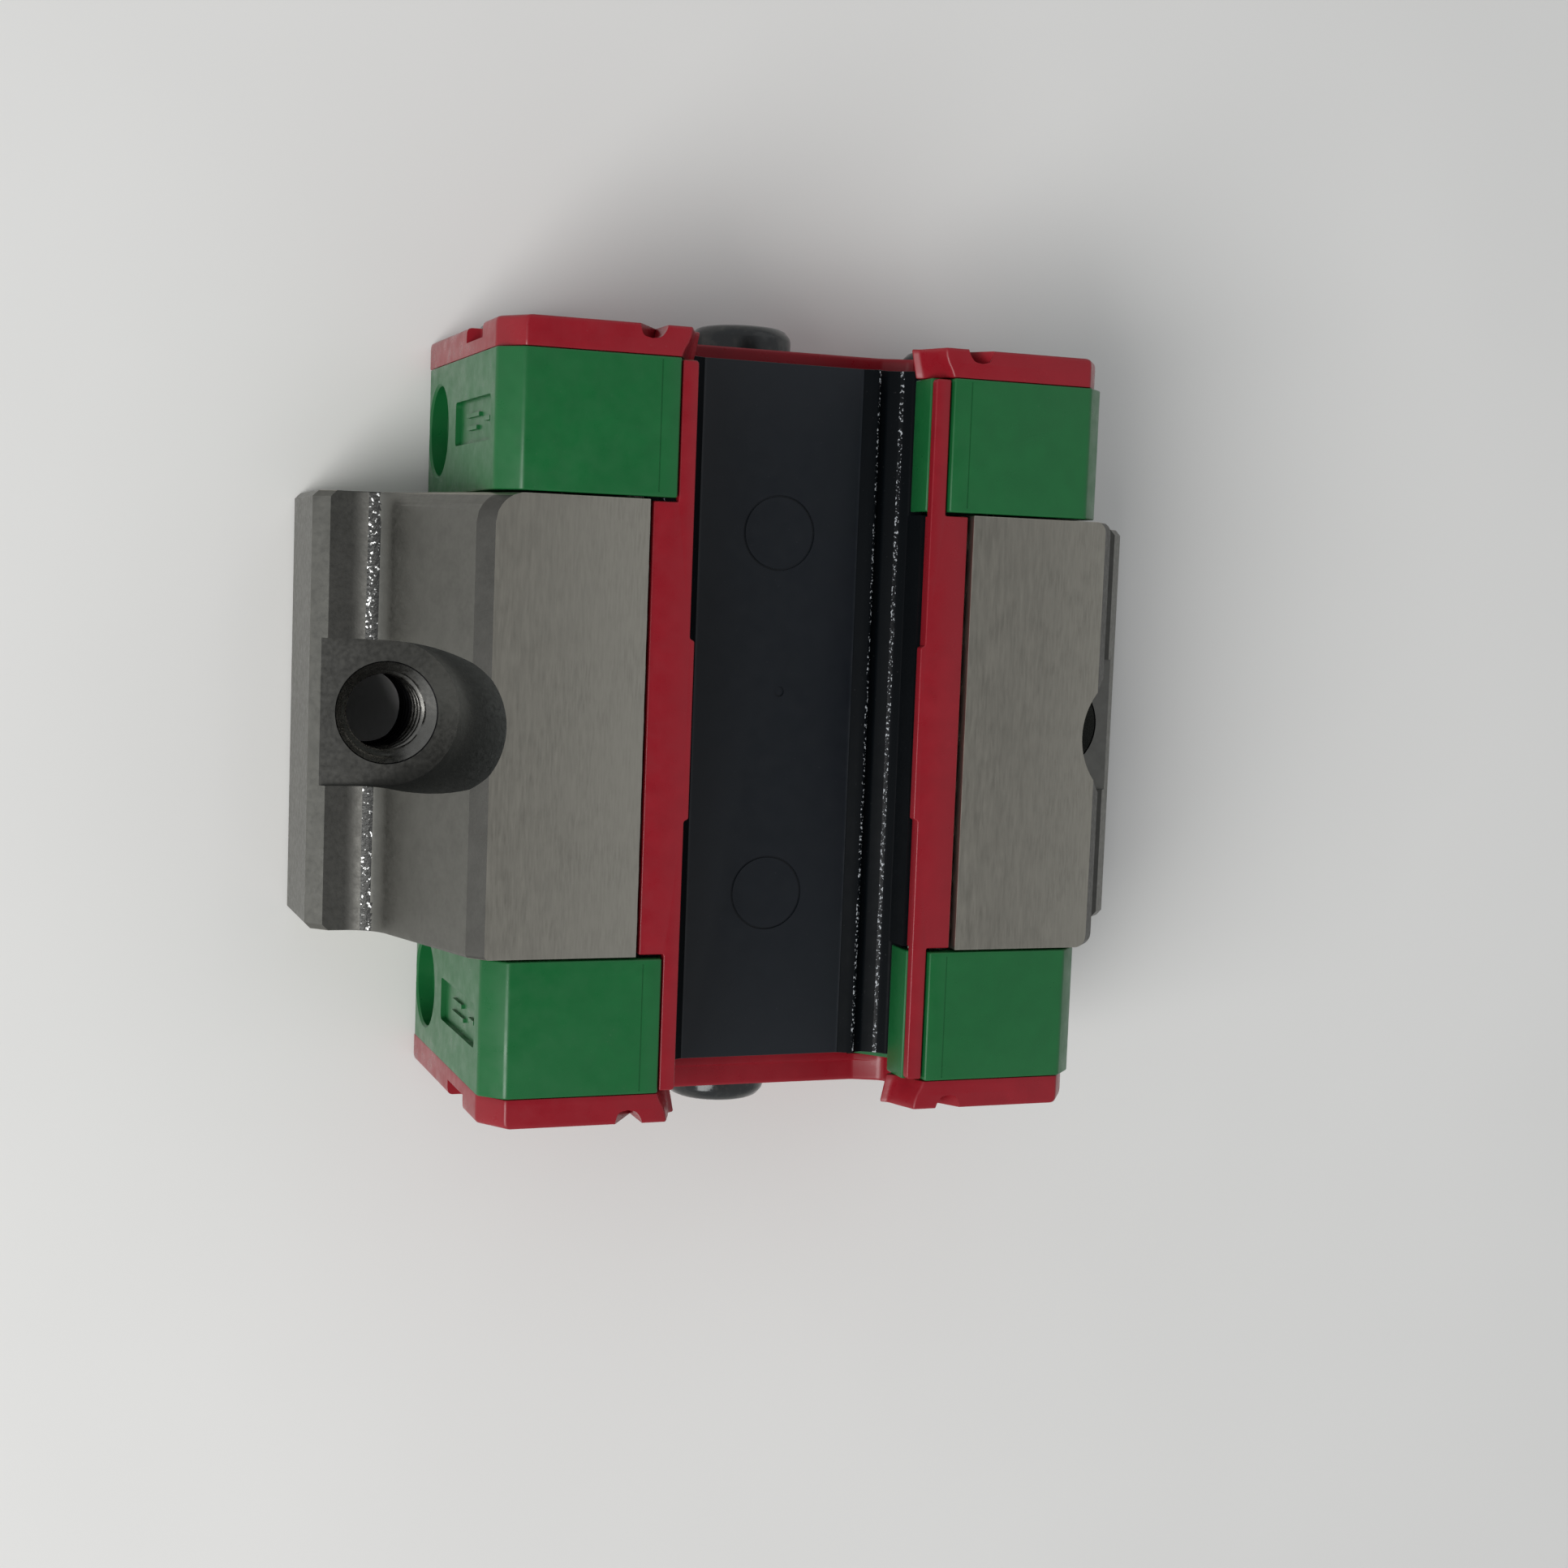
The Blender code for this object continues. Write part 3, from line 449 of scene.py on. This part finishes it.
def finished(obj, slot, body, *nodes, extra=()):
    """Give a piece its finish and its body, and let it stand for its CAD nodes."""
    obj.data.materials.clear()
    for name in (slot, *extra):
        obj.data.materials.append(MATERIALS[name])
    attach(obj, body)
    if nodes:
        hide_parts(*nodes)
    return obj


# ---- steel block ---------------------------------------------------------------------------------------------

FILLET = 2.5
LEG = 21.65
LEG_SLOPE = 17.0
LEG_CHAMFER = 1.05
FLANGE = 9.0
FLANGE_CHAMFER = 1.0
LEG_GAP = 11.0
RELIEF = 11.6
CEILING = 10.9
SPOT = 4.8
SPOT_FLOOR = 8.65
MOUTH = 3.4
MAJOR = 3.0
THREAD_CREST = 2.48
THREAD_DEPTH = 0.5
GROOVE = 1.66
ROW_BORE = 2.3
# A face is level when its normal's Z is past LEVEL. SLACK is how far a face's centre may be off a limit, in mm.
LEVEL = 0.97
SLACK = 0.1
GLINT_OUT, GLINT_IN, GLINT_TOP = 1.7, 1.0, 1.1
SKIN_IN = 1.1
LEG_CORNERS = {"front": (0.3, 0.8), "rear": (1.9, 0.7)}
FLANGE_CORNER = 0.4
SHOULDER = LEG_TOP - LEG_CHAMFER
FOOT = LEG + (SHOULDER - FLANGE) * math.tan(math.radians(LEG_SLOPE))
FILLET_X = FOOT + FILLET * (1 - math.sin(math.radians(LEG_SLOPE))) / math.cos(math.radians(LEG_SLOPE))


def block_half():
    outline = [(0.0, 0.0), (BLOCK_EDGE - 0.3, 0.0), (BLOCK_EDGE, 0.3), (BLOCK_EDGE, FLANGE - FLANGE_CHAMFER),
               (BLOCK_EDGE - FLANGE_CHAMFER, FLANGE)]
    outline += arc((FILLET_X, FLANGE + FILLET), FILLET, 270.0, 180.0 + LEG_SLOPE, 18)
    outline += [(LEG, SHOULDER), (LEG - LEG_CHAMFER * 0.9, LEG_TOP), (LEG_GAP, LEG_TOP), (LEG_GAP, 20.6)]
    outline += arc(LOADED["lower"], GROOVE, 60.0, 0.0, 8) + [(RELIEF, 18.2), (RELIEF, 14.4)]
    outline += arc(LOADED["upper"], GROOVE, 0.0, -60.0, 8) + [(9.5, 11.9), (9.1, CEILING), (0.0, CEILING)]
    return outline


def round_inset(radius, from_end):
    return radius - math.sqrt(radius ** 2 - max(0.0, radius - from_end) ** 2)


def block_ring(end_name, from_end):
    """The block's outline at a distance from one end, with its hand-broken upright corners."""
    halves = []
    for radius in LEG_CORNERS[end_name]:
        half = []
        for x, z in block_half():
            if x > FILLET_X + SLACK:
                x -= max(0.0, FLANGE_CORNER - from_end)
            elif x > LEG - LEG_CHAMFER - SLACK and z > FLANGE:
                x -= round_inset(radius, from_end) * min(1.0, (z - FLANGE) / (SHOULDER - FLANGE))
            half.append((x, z))
        halves.append(half)
    left, right = halves
    outline = rounded(right + [(-x, z) for x, z in reversed(left) if x > 1e-9], 0.06, 2, 50.0)
    return inset(outline, round_inset(0.05, from_end))


# In the order of the slots that paint_block gives the faces, after the ground steel.
BLOCK_FINISHES = ("fillet_steel", "milled_floor", "shaded_milled_wall", "shaded_bore_steel", "rolled_steel", "shaded_side_steel")


def paint_block(mesh):
    """Ground steel, but rolled skin on the flanges, a band of painted glints on the fillets, milled reliefs
    whose walls are in painted shade, holes painted near black as shade, and sideways faces in a darker steel as
    painted shade.
    """
    ground, glint_band, floor, wall, bore, rolled, side = range(7)
    for face in mesh.polygons:
        x, y, z = (abs(c) / MM for c in face.center)
        from_hole = math.hypot(x - BOLT_X, y)
        slot = ground
        round_wall = from_hole < SPOT + 0.05
        straight_wall = x > BOLT_X and y < SPOT + 0.02 and abs(face.normal.y) > 0.9
        if abs(face.normal.z) > LEVEL:
            if abs(z - SPOT_FLOOR) < SLACK:
                slot = floor
            elif FLANGE - SLACK < z < SHOULDER:
                slot = rolled
        # Painted shade: the reliefs' faces that are not level take the darker milled steel.
        elif z > SPOT_FLOOR + SLACK and x < BLOCK_EDGE - 0.2 and (round_wall or straight_wall):
            slot = wall
        # Painted shade: the bore below the spot face is near black.
        elif from_hole < MOUTH + SLACK and z < SPOT_FLOOR:
            slot = bore
        # Painted glints: a narrow band up the fillet gets the dark steel with near-white specks.
        elif FILLET_X - GLINT_OUT < x < FILLET_X - GLINT_IN and FLANGE < z < FLANGE + GLINT_TOP:
            slot = glint_band
        elif x > FILLET_X - SKIN_IN and FLANGE - SLACK < z < FLANGE + GLINT_TOP:
            slot = rolled
        # Painted shade: sideways-facing leg and flange faces take the darker side steel.
        elif z < LEG_TOP - 0.05 and abs(face.normal.x) > 0.4 and x > LEG_GAP + 2:
            slot = side if z < SHOULDER else rolled
        face.material_index = slot


def thread_sleeve(name, side):
    """The thread's own surface, a helical groove, opening out into the chamfer at its mouth."""
    per_turn, steps = 12, 64
    bm = bmesh.new()
    rows = []
    for j in range(int((SPOT_FLOOR - 0.02) * per_turn) + 1):
        z = j / per_turn
        row = []
        for i in range(steps):
            phase = (z - i / steps) % 1.0
            depth = min(1.0, max(0.0, 2.6 * abs(phase - 0.5) - 0.2))
            r = max(THREAD_CREST + THREAD_DEPTH * (1 - depth), MOUTH - 0.01 - (SPOT_FLOOR - z))
            a = 2 * math.pi * i / steps
            row.append(bm.verts.new(((side * BOLT_X + r * math.cos(a)) * MM, r * math.sin(a) * MM, z * MM)))
        rows.append(row)
    bridge(bm, rows)
    obj = mesh_object(name, bm, 60.0)
    obj.data.flip_normals()
    finished(obj, "ground_steel", "carriage", extra=("thread_steel",))
    # Painted shade: the sleeve below 4 mm is near black, deep in the hole; above it, lighter thread steel.
    obj.data.materials[0] = MATERIALS["shaded_bore_steel"]
    for face in obj.data.polygons:
        face.material_index = 1 if face.center.z > 4.0 * MM else 0


def turn_matrix(level, side, end):
    """Local X from the loaded row to the return row, local Y out of the block, local Z the turn's axis."""
    x, z = LOADED[level]
    angle = math.radians(TILT[level])
    dx, dz = side * math.cos(angle), math.sin(angle)
    across, outward = Vector((dx, 0.0, dz)), Vector((0.0, end, 0.0))
    matrix = Matrix((across, outward, across.cross(outward))).transposed().to_4x4()
    return Matrix.Translation(Vector((side * x + TURN * dx, end * TURN_START, z + TURN * dz)) * MM) @ matrix


def return_place(level, side):
    x, z = LOADED[level]
    angle = math.radians(TILT[level])
    return side * (x + 2 * TURN * math.cos(angle)), z + 2 * TURN * math.sin(angle)


def make_block():
    stations = (0.0, 0.01, 0.025, 0.05, 0.1, 0.2, 0.3, 0.4, 0.55, 0.8, 1.2, 1.9)
    rings = [along_y(block_ring("front", d), d - BLOCK_HALF) for d in stations]
    rings += [along_y(block_ring("rear", d), BLOCK_HALF - d) for d in reversed(stations)]
    block = skin("steel_block", rings)
    cutters = []
    for side in SIDES.values():
        x = side * BOLT_X
        profile = [(MOUTH * 0.95, -1.0), (MOUTH * 0.9, 0.0), (MAJOR, 0.4), (MAJOR, SPOT_FLOOR - (MOUTH - MAJOR)),
                   (MOUTH, SPOT_FLOOR), (MOUTH, SPOT_FLOOR + 1.0)]
        cutters.append(turned(f"hole_{side}", profile, (x, 0, 0), (0, 0, 1), 64))
        half_round = arc((0.0, 0.0), SPOT, 90.0, 270.0, 40)
        plan = half_round + [(BLOCK_EDGE - BOLT_X + 1, -SPOT), (BLOCK_EDGE - BOLT_X + 1, SPOT)]
        plan = [(side * (px + BOLT_X), py) for px, py in plan]
        cutters.append(slab(f"spot_{side}", plan, SPOT_FLOOR, LEG_TOP + 2.0, 0))
        for level in LOADED:
            rx, rz = return_place(level, side)
            start = (rx, -BLOCK_HALF - 1, rz)
            cutters.append(rod(f"row_{side}_{level}", ROW_BORE, start, (0, 1, 0), 2 * BLOCK_HALF + 2, 24))
        for end in ENDS.values():
            start = (side * SCREW_X, end * (BLOCK_HALF + 1), SCREW_Z)
            cutters.append(rod(f"screw_{side}_{end}", SCREW_BORE, start, (0, -end, 0), 8.0, 24))
    cut(block, cutters, sharp=20.0)
    finished(block, "ground_steel", "carriage", "carriage_block", extra=BLOCK_FINISHES)
    paint_block(block.data)
    for side_name, side in SIDES.items():
        thread_sleeve(f"thread_{side_name}", side)


# ---- end caps ------------------------------------------------------------------------------------------------

CAP_CHAMFER = 1.45
CAP_MOUTH = 9.25
CAP_LIP = 8.02
CAP_CEILING = 12.2


def cap_half():
    outer = [(0.0, CAP_BASE), (CAP_HALF - 0.4, CAP_BASE), (CAP_HALF, CAP_BASE + 0.4),
             (CAP_HALF, CAP_TOP - CAP_CHAMFER), (CAP_HALF - CAP_CHAMFER, CAP_TOP)]
    seat = [(CAP_MOUTH, CAP_TOP), (CAP_MOUTH, STRIP_BASE - 0.2)]
    lip = [(CAP_LIP, STRIP_BASE - 0.2), (CAP_LIP, 19.4), (CAP_LIP + 0.06, 18.1), (9.0, 17.7), (10.3, 17.2)]
    return outer + seat + lip + [(10.3, 15.2), (8.6, 13.2), (7.8, CAP_CEILING), (0.0, CAP_CEILING)]


def make_cap(end_name, end):
    outline = rounded(both_sides(cap_half()), 0.22)
    cap = prism(f"cap_{end_name}", outline, end * CAP_INNER, end * CAP_OUTER, 0.1)
    cutters = []
    for level in LOADED:
        for side in SIDES.values():
            matrix = turn_matrix(level, side, end)
            cutters.append(torus(f"way_{level}_{side}", TURN, 1.8, matrix))
            seat = rod(f"seat_{level}_{side}", TURN, (0, 0, -2.05), (0, 0, 1), 4.1, 40)
            seat.data.transform(matrix)
            cutters.append(seat)
    for side in SIDES.values():
        face = side * CAP_HALF
        inward = (-side, 0, 0)
        profile = [(3.15, -1.0), (3.15, 0.0), (3.0, 0.15), (3.0, 1.2),
                   (2.2, 1.35), (2.0, 1.6), (1.3, 1.6), (1.3, 3.0)]
        cutters.append(turned(f"port_{side}", profile, (face, end * PORT_Y, PORT_Z), inward, 48))
        label = rounded([(17.5, 9.4), (20.3, 9.4), (20.3, 19.2), (17.5, 19.2)], 0.35, 4)
        rings = []
        for x in (face + side, face - side * 0.35):
            rings.append([(x, end * y, z) for y, z in label])
        cutters.append(skin(f"label_{side}", rings))
        start = (side * SCREW_X, end * (CAP_INNER - 1), SCREW_Z)
        cutters.append(rod(f"screw_{side}", SCREW_CLEARANCE, start, (0, end, 0), 12, 24))
        line = (side * 10.45, side * 10.53)
        cutters.append(block_of(f"line_{side}", line, (end * (CAP_INNER + 0.3), end * (CAP_OUTER - 0.2)),
                                (CAP_TOP - 0.04, CAP_TOP + 1)))
    cutters.append(rod("grease", PLUG_CLEARANCE, (0, end * (CAP_OUTER + 1), PLUG_Z), (0, -end, 0), 6.5))
    seat = (end * 22.25, end * (CAP_OUTER + 1))
    cutters.append(block_of("collar", (-7.75, 7.75), seat, (11.85, CAP_CEILING + 1)))
    cut(cap, cutters)
    finished(cap, "green_plastic", "carriage", f"end_cap_{end_name}")
    for side_name, side in SIDES.items():
        face = side * CAP_HALF
        for i, (y, z, long) in enumerate(((18.5, 12.2, 2.6), (19.3, 12.0, 3.4), (18.9, 16.8, 1.5))):
            x = (face - side * 0.42, face - side * 0.16)
            across = (end * (y - 0.13), end * (y + 0.13))
            rib = block_of(f"label_rib_{end_name}_{side_name}_{i}", x, across, (z, z + long))
            finished(rib, "green_plastic", "carriage")


# ---- end seals -----------------------------------------------------------------------------------------------

def blend(points, at):
    """A value read off a line through (position, value) points."""
    for (a, p), (b, q) in zip(points, points[1:]):
        if at <= b:
            return p + (q - p) * max(0.0, (at - a) / (b - a))
    return points[-1][1]


SEAL_CHAMFER = (1.4, 2.05)
SEAL_CEILING = 12.35
RIM = ((23.5, SEAL_CEILING), (23.6, SEAL_CEILING - 0.15), (24.9, SEAL_CEILING - 0.03))
EAR_CREASE = ((23.0, 9.28), (23.5, 9.1), (24.2, 8.7), (24.85, 8.6))
EAR_LIP = ((23.1, 7.62), (24.9, 7.25))


def seal_half(y, shrink):
    """The seal's section: the wiper lip leans in towards the rail, further out along Y."""
    across, down = SEAL_CHAMFER
    half = SEAL_HALF - shrink
    crease, lip, ceiling = blend(EAR_CREASE, y), blend(EAR_LIP, y), blend(RIM, y)
    outer = [(0.0, SEAL_BASE), (half, SEAL_BASE), (half, SEAL_TOP - down), (half - across, SEAL_TOP)]
    ear = [(crease, SEAL_TOP), (crease - 0.55, 20.4), (lip + 0.45, 19.45), (lip, 19.15), (lip + 0.2, 18.9)]
    mouth = [(9.0, 18.1), (10.0, 17.3), (10.0, 13.3), (9.7, 13.0), (8.0, ceiling), (0.0, ceiling)]
    return outer + ear + mouth


def make_seal(end_name, end):
    rings = []
    for y, shrink, edge in ((SEAL_INNER, 0, 0.06), (SEAL_INNER + 0.02, 0, 0.02), (SEAL_INNER + 0.08, 0, 0),
                            (23.5, 0, 0), (23.6, 0, 0), (24.0, 0, 0), (24.4, 0, 0),
                            (SEAL_OUTER - 0.3, 0.02, 0), (SEAL_OUTER - 0.14, 0.07, 0),
                            (SEAL_OUTER - 0.05, 0.14, 0.02), (SEAL_OUTER, 0.26, 0.06)):
        outline = inset(rounded(both_sides(seal_half(y, shrink)), 0.16, 3, 12.0), edge)
        rings.append(along_y(outline, end * y))
    seal = skin(f"seal_{end_name}", rings)
    collar = both_sides([(0.0, 12.0), (7.6, 12.0), (7.6, SEAL_CEILING - 0.01), (0.0, SEAL_CEILING - 0.01)])
    collar = prism("collar", rounded(collar, 0.08), end * 22.4, end * (SEAL_INNER + 0.3), 0.05)
    cut(seal, [collar], "UNION")
    cutters = []
    for side in SIDES.values():
        notch = rounded([(19.5, 11.6), (22.0, 11.6), (22.0, 16.1), (19.5, 16.1)], 0.2)
        cutters.append(prism(f"notch_{side}", place(notch, side), end * 23.95, end * (SEAL_OUTER + 1), 0))
        plan = [(12.0, 26.0), (12.0, 24.94), (11.8, 24.2), (11.2, 24.08),
                (10.6, 24.15), (10.2, 24.75), (10.1, 26.0)]
        plan = rounded(plan, 0.3, 3)
        floor = [(side * x, end * y, 18.9 + (max(x, 10.1) - 10.1) * 1.5) for x, y in plan]
        cutters.append(skin(f"scoop_{side}", [floor, [(x, y, 24.0) for x, y, z in floor]]))
        start = (side * SCREW_X, end * CAP_OUTER, SCREW_Z)
        cutters.append(rod(f"screw_{side}", SCREW_CLEARANCE, start, (0, end, 0), 3, 24))
        start = (side * SCREW_X, end * (SEAL_OUTER - 0.05), SCREW_Z)
        cutters.append(rod(f"head_{side}", 2.9, start, (0, end, 0), 3, 40))
    cutters.append(rod("grease", PLUG_CLEARANCE, (0, end * CAP_OUTER, PLUG_Z), (0, end, 0), 3))
    cut(seal, cutters)
    finished(seal, "red_elastomer", "carriage", f"end_seal_{end_name}")


# ---- bottom strips -------------------------------------------------------------------------------------------

def make_strip(side_name, side):
    """A flat strip with a thin wiping lip along its inner edge, stepped in towards the rail in its middle."""
    tip = high(f"bottom_seal_{side_name}", 1)
    inner, outer, tongue, wide, step = 8.05, 10.72, 9.1, 14.2, 5.6
    half = [(inner - 0.3, step), (inner, step + 0.15), (inner + 0.02, tip - 0.15), (inner + 0.15, tip),
            (tongue, tip), (tongue, wide), (outer, wide)]
    plan = half + [(x, -y) for x, y in reversed(half)]
    plan = rounded(plan, 0.1, 2, 40.0)
    strip = slab(f"strip_{side_name}", place(plan, side), STRIP_BASE, STRIP_TOP, 0.09)
    wiper = [(inner + 0.02, 20.72), (inner + 0.12, 20.66), (inner + 0.4, 20.9),
             (inner + 0.4, 21.2), (inner, 21.2)]
    bar = prism("wiper", place(wiper, side), -14.1, 14.1, 0)
    cut(strip, [bar], "UNION")
    finished(strip, "red_elastomer", "carriage", f"bottom_seal_{side_name}")


# ---- shipping rail -------------------------------------------------------------------------------------------

RAIL_BASE = 12.75
RAIL_GROOVE = 1.95
CREST_IN, CREST_OUT = 6.62, 8.2


def make_shipping_rail():
    upper = LOADED["upper"]
    start = 180.0 + math.degrees(math.asin((upper[1] - RAIL_BASE) / RAIL_GROOVE))
    half = [(0.0, RAIL_BASE)] + arc(upper, RAIL_GROOVE, start, 118.0, 16)
    half += [(9.7, 15.95), (9.7, 16.5), (8.75, 16.35), (8.45, 15.95), (8.2, 15.7), (7.85, 15.5),
             (7.3, 15.25), (6.9, 15.4), (6.6, 15.65), (6.1, 15.45), (5.55, 15.2), (0.0, 15.2)]
    rail = prism("shipping_rail_body", rounded(both_sides(half), 0.14, 3, 12.0), RAIL_FRONT, RAIL_REAR, 0.03)
    middle = (RAIL_REAR + RAIL_FRONT) / 2
    cutters = []
    for i, y in enumerate((-12.0, 12.0)):
        mark = rod(f"mark_{i}", 2.5, (0, middle + y, 15.08), (0, 0, 1), 1.0, 64)
        core = rod(f"core_{i}", 2.36, (0, middle + y, 15.0), (0, 0, 1), 2.0, 64)
        cutters.append(cut(mark, [core]))
    cutters.append(rod("gate", 0.35, (0.4, middle + 1.5, 15.08), (0, 0, 1), 1.0, 16))
    cut(rail, cutters)
    finished(rail, "black_gloss_plastic", "shipping_rail", "shipping_rail",
             extra=("shaded_ridge_plastic", "glint_plastic"))
    # Painted shade on the rail's sloped walls and ridges, beyond the flat floor.
    for face in rail.data.polygons:
        x = abs(face.center.x) / MM
        if x > 5.6 and face.center.z > 13.5 * MM and abs(face.normal.y) < 0.5:
            # Painted glints: the faces on the two crests take the speckled black.
            crest = min(abs(x - CREST_IN), abs(x - CREST_OUT)) < SLACK
            face.material_index = 2 if crest else 1


# ---- plugs and screws ----------------------------------------------------------------------------------------

def make_plug(end_name, end):
    base = SEAL_OUTER + HEAD_GAP
    head = PLUG_END - base
    profile = [(1.9, -4.6), (2.5, -4.0), (2.5, 0.0), (3.4, 0.0), (3.5, 0.1), (3.5, head - 0.85),
               (3.42, head - 0.6), (3.1, head - 0.22), (2.8, head - 0.08), (2.3, head)]
    plug = turned(f"plug_{end_name}", profile, (0, end * base, PLUG_Z), (0, end, 0), 64, 40.0)
    cut(plug, [rod("socket", 1.45, (0, end * (PLUG_END - 0.9), PLUG_Z), (0, end, 0), 3.0, 6)])
    finished(plug, "black_oxide_steel", "carriage", f"grease_plug_{end_name}")


def make_screw(end_name, end, side_name, side):
    head = 1.6
    profile = [(1.2, -15.9), (1.45, -15.4), (1.45, -0.02), (2.5, 0.0), (2.6, 0.1), (2.6, 0.35),
               (2.45, 0.8), (2.0, 1.25), (1.3, head - 0.06), (0.6, head)]
    base = (side * SCREW_X, end * (SEAL_OUTER + HEAD_GAP), SCREW_Z)
    screw = turned(f"screw_{end_name}_{side_name}", profile, base, (0, end, 0), 40, 40.0)
    top = end * (SEAL_OUTER + HEAD_GAP + head)
    cutters = []
    for i, (wide, tall) in enumerate(((1.35, 0.24), (0.24, 1.35))):
        x = (base[0] - wide, base[0] + wide)
        z = (SCREW_Z - tall, SCREW_Z + tall)
        cutters.append(block_of(f"slot_{i}", x, (top - end * 0.75, top + end), z))
    cut(screw, cutters, sharp=40.0)
    finished(screw, "black_oxide_steel", "carriage", f"cap_screw_{end_name}_{side_name}")


# ---- balls ---------------------------------------------------------------------------------------------------

SEEN, HIDDEN = 28, 16


def balls(name, centers, body, node, fine):
    """Balls at these places, as one piece, each with this many segments round it."""
    bm = bmesh.new()
    for center in centers:
        made = bmesh.ops.create_uvsphere(bm, u_segments=fine, v_segments=fine // 2, radius=BALL / 2 * MM)
        bmesh.ops.translate(bm, verts=made["verts"], vec=Vector(center))
    finished(mesh_object(name, bm, 180.0), "ball_steel", body, node)


def make_balls():
    row = [(i - ROW_BALLS // 2) * PITCH * MM for i in range(ROW_BALLS)]
    for level in LOADED:
        for side_name, side in SIDES.items():
            tail = f"{level}_{side_name}"
            x, z = side * LOADED[level][0] * MM, LOADED[level][1] * MM
            name = f"loaded_balls_{tail}"
            balls(f"balls_loaded_{tail}", [(x, y, z) for y in row], name, name, SEEN)
            x, z = (c * MM for c in return_place(level, side))
            name = f"return_balls_{tail}"
            balls(f"balls_return_{tail}", [(x, y, z) for y in row], name, name, HIDDEN)
            for end_name, end in ENDS.items():
                matrix = turn_matrix(level, side, end)
                centers = []
                for i in (-1, 0, 1):
                    a = math.radians(90.0 + TURN_STEP * i)
                    centers.append(matrix @ (Vector((-math.cos(a), math.sin(a), 0.0)) * TURN * MM))
                name = f"turn_balls_{end_name}_{tail}"
                balls(f"balls_{end_name}_{tail}", centers, name, name, HIDDEN)


# ---- stage ---------------------------------------------------------------------------------------------------

SENSOR, LENS = 36.0, 51.793
CAMERA_AT = (-52.44, 9.17, 155.95)
CAMERA_AXES = ((0.9353, 0.0383, 0.3517), (-0.0052, 0.9955, -0.0947), (-0.3537, 0.0867, 0.9313))
FLOOR_DROP = 0.00002
SKY_RANGE = (0.86, 0.97, 0.55, 0.10)
SKY_COLOR = (0.93, 0.96, 1.0, 1.0)
LAMPS = (("key", (-0.34, -0.17, 0.37), 0.30, 2.1), ("fill", (0.4, 0.5, 0.4), 0.5, 0.2))


def make_stage():
    """The photo's camera, a pale floor, a soft sky that is darker overhead, and two area lamps."""
    scene = bpy.context.scene
    lens = bpy.data.cameras.new("camera")
    lens.sensor_width, lens.sensor_fit, lens.lens = SENSOR, "HORIZONTAL", LENS
    camera = bpy.data.objects.new("camera", lens)
    turn = Matrix(CAMERA_AXES).transposed().to_4x4()
    camera.matrix_world = Matrix.Translation(Vector(CAMERA_AT) * MM) @ turn
    scene.collection.objects.link(camera)
    scene.camera = camera

    bm = bmesh.new()
    bmesh.ops.create_grid(bm, x_segments=2, y_segments=2, size=3.0)
    bmesh.ops.translate(bm, verts=bm.verts, vec=(0, 0, -FLOOR_DROP))
    floor = mesh_object("floor", bm)
    pale = Finish("pale_floor", (0.70, 0.69, 0.665), 0.55)
    pale.tint(pale.noise(0.02, 2.0), (0.72, 0.71, 0.685)).rough(pale.noise(0.1), 0.5, 0.6)
    floor.data.materials.append(pale.material)

    world = bpy.data.worlds.new("world")
    scene.world = world
    world.use_nodes = True
    nodes, links = world.node_tree.nodes, world.node_tree.links
    split = nodes.new("ShaderNodeSeparateXYZ")
    links.new(nodes.new("ShaderNodeTexCoord").outputs["Generated"], split.inputs[0])
    height = nodes.new("ShaderNodeMapRange")
    for socket, number in zip(RANGE_SOCKETS, SKY_RANGE):
        height.inputs[socket].default_value = number
    links.new(split.outputs["Z"], height.inputs["Value"])
    links.new(height.outputs["Result"], nodes["Background"].inputs["Strength"])
    nodes["Background"].inputs["Color"].default_value = SKY_COLOR
    for name, spot, size, power in LAMPS:
        light = bpy.data.lights.new(name, "AREA")
        light.size, light.energy = size, power
        lamp = bpy.data.objects.new(name, light)
        lamp.location = spot
        lamp.rotation_euler = (-Vector(spot)).to_track_quat("-Z", "Y").to_euler()
        scene.collection.objects.link(lamp)
    scene.view_settings.view_transform = "Standard"


make_stage()
slots = {part["node"]: part["material_slot"] for part in frame["record"]["subparts"]}
for node, obj in frame["nodes"].items():
    obj.data.materials.clear()
    obj.data.materials.append(MATERIALS[slots[node]])
make_block()
for end_name, end in ENDS.items():
    make_cap(end_name, end)
    make_seal(end_name, end)
    make_plug(end_name, end)
    for side_name, side in SIDES.items():
        make_screw(end_name, end, side_name, side)
for side_name, side in SIDES.items():
    make_strip(side_name, side)
make_shipping_rail()
make_balls()
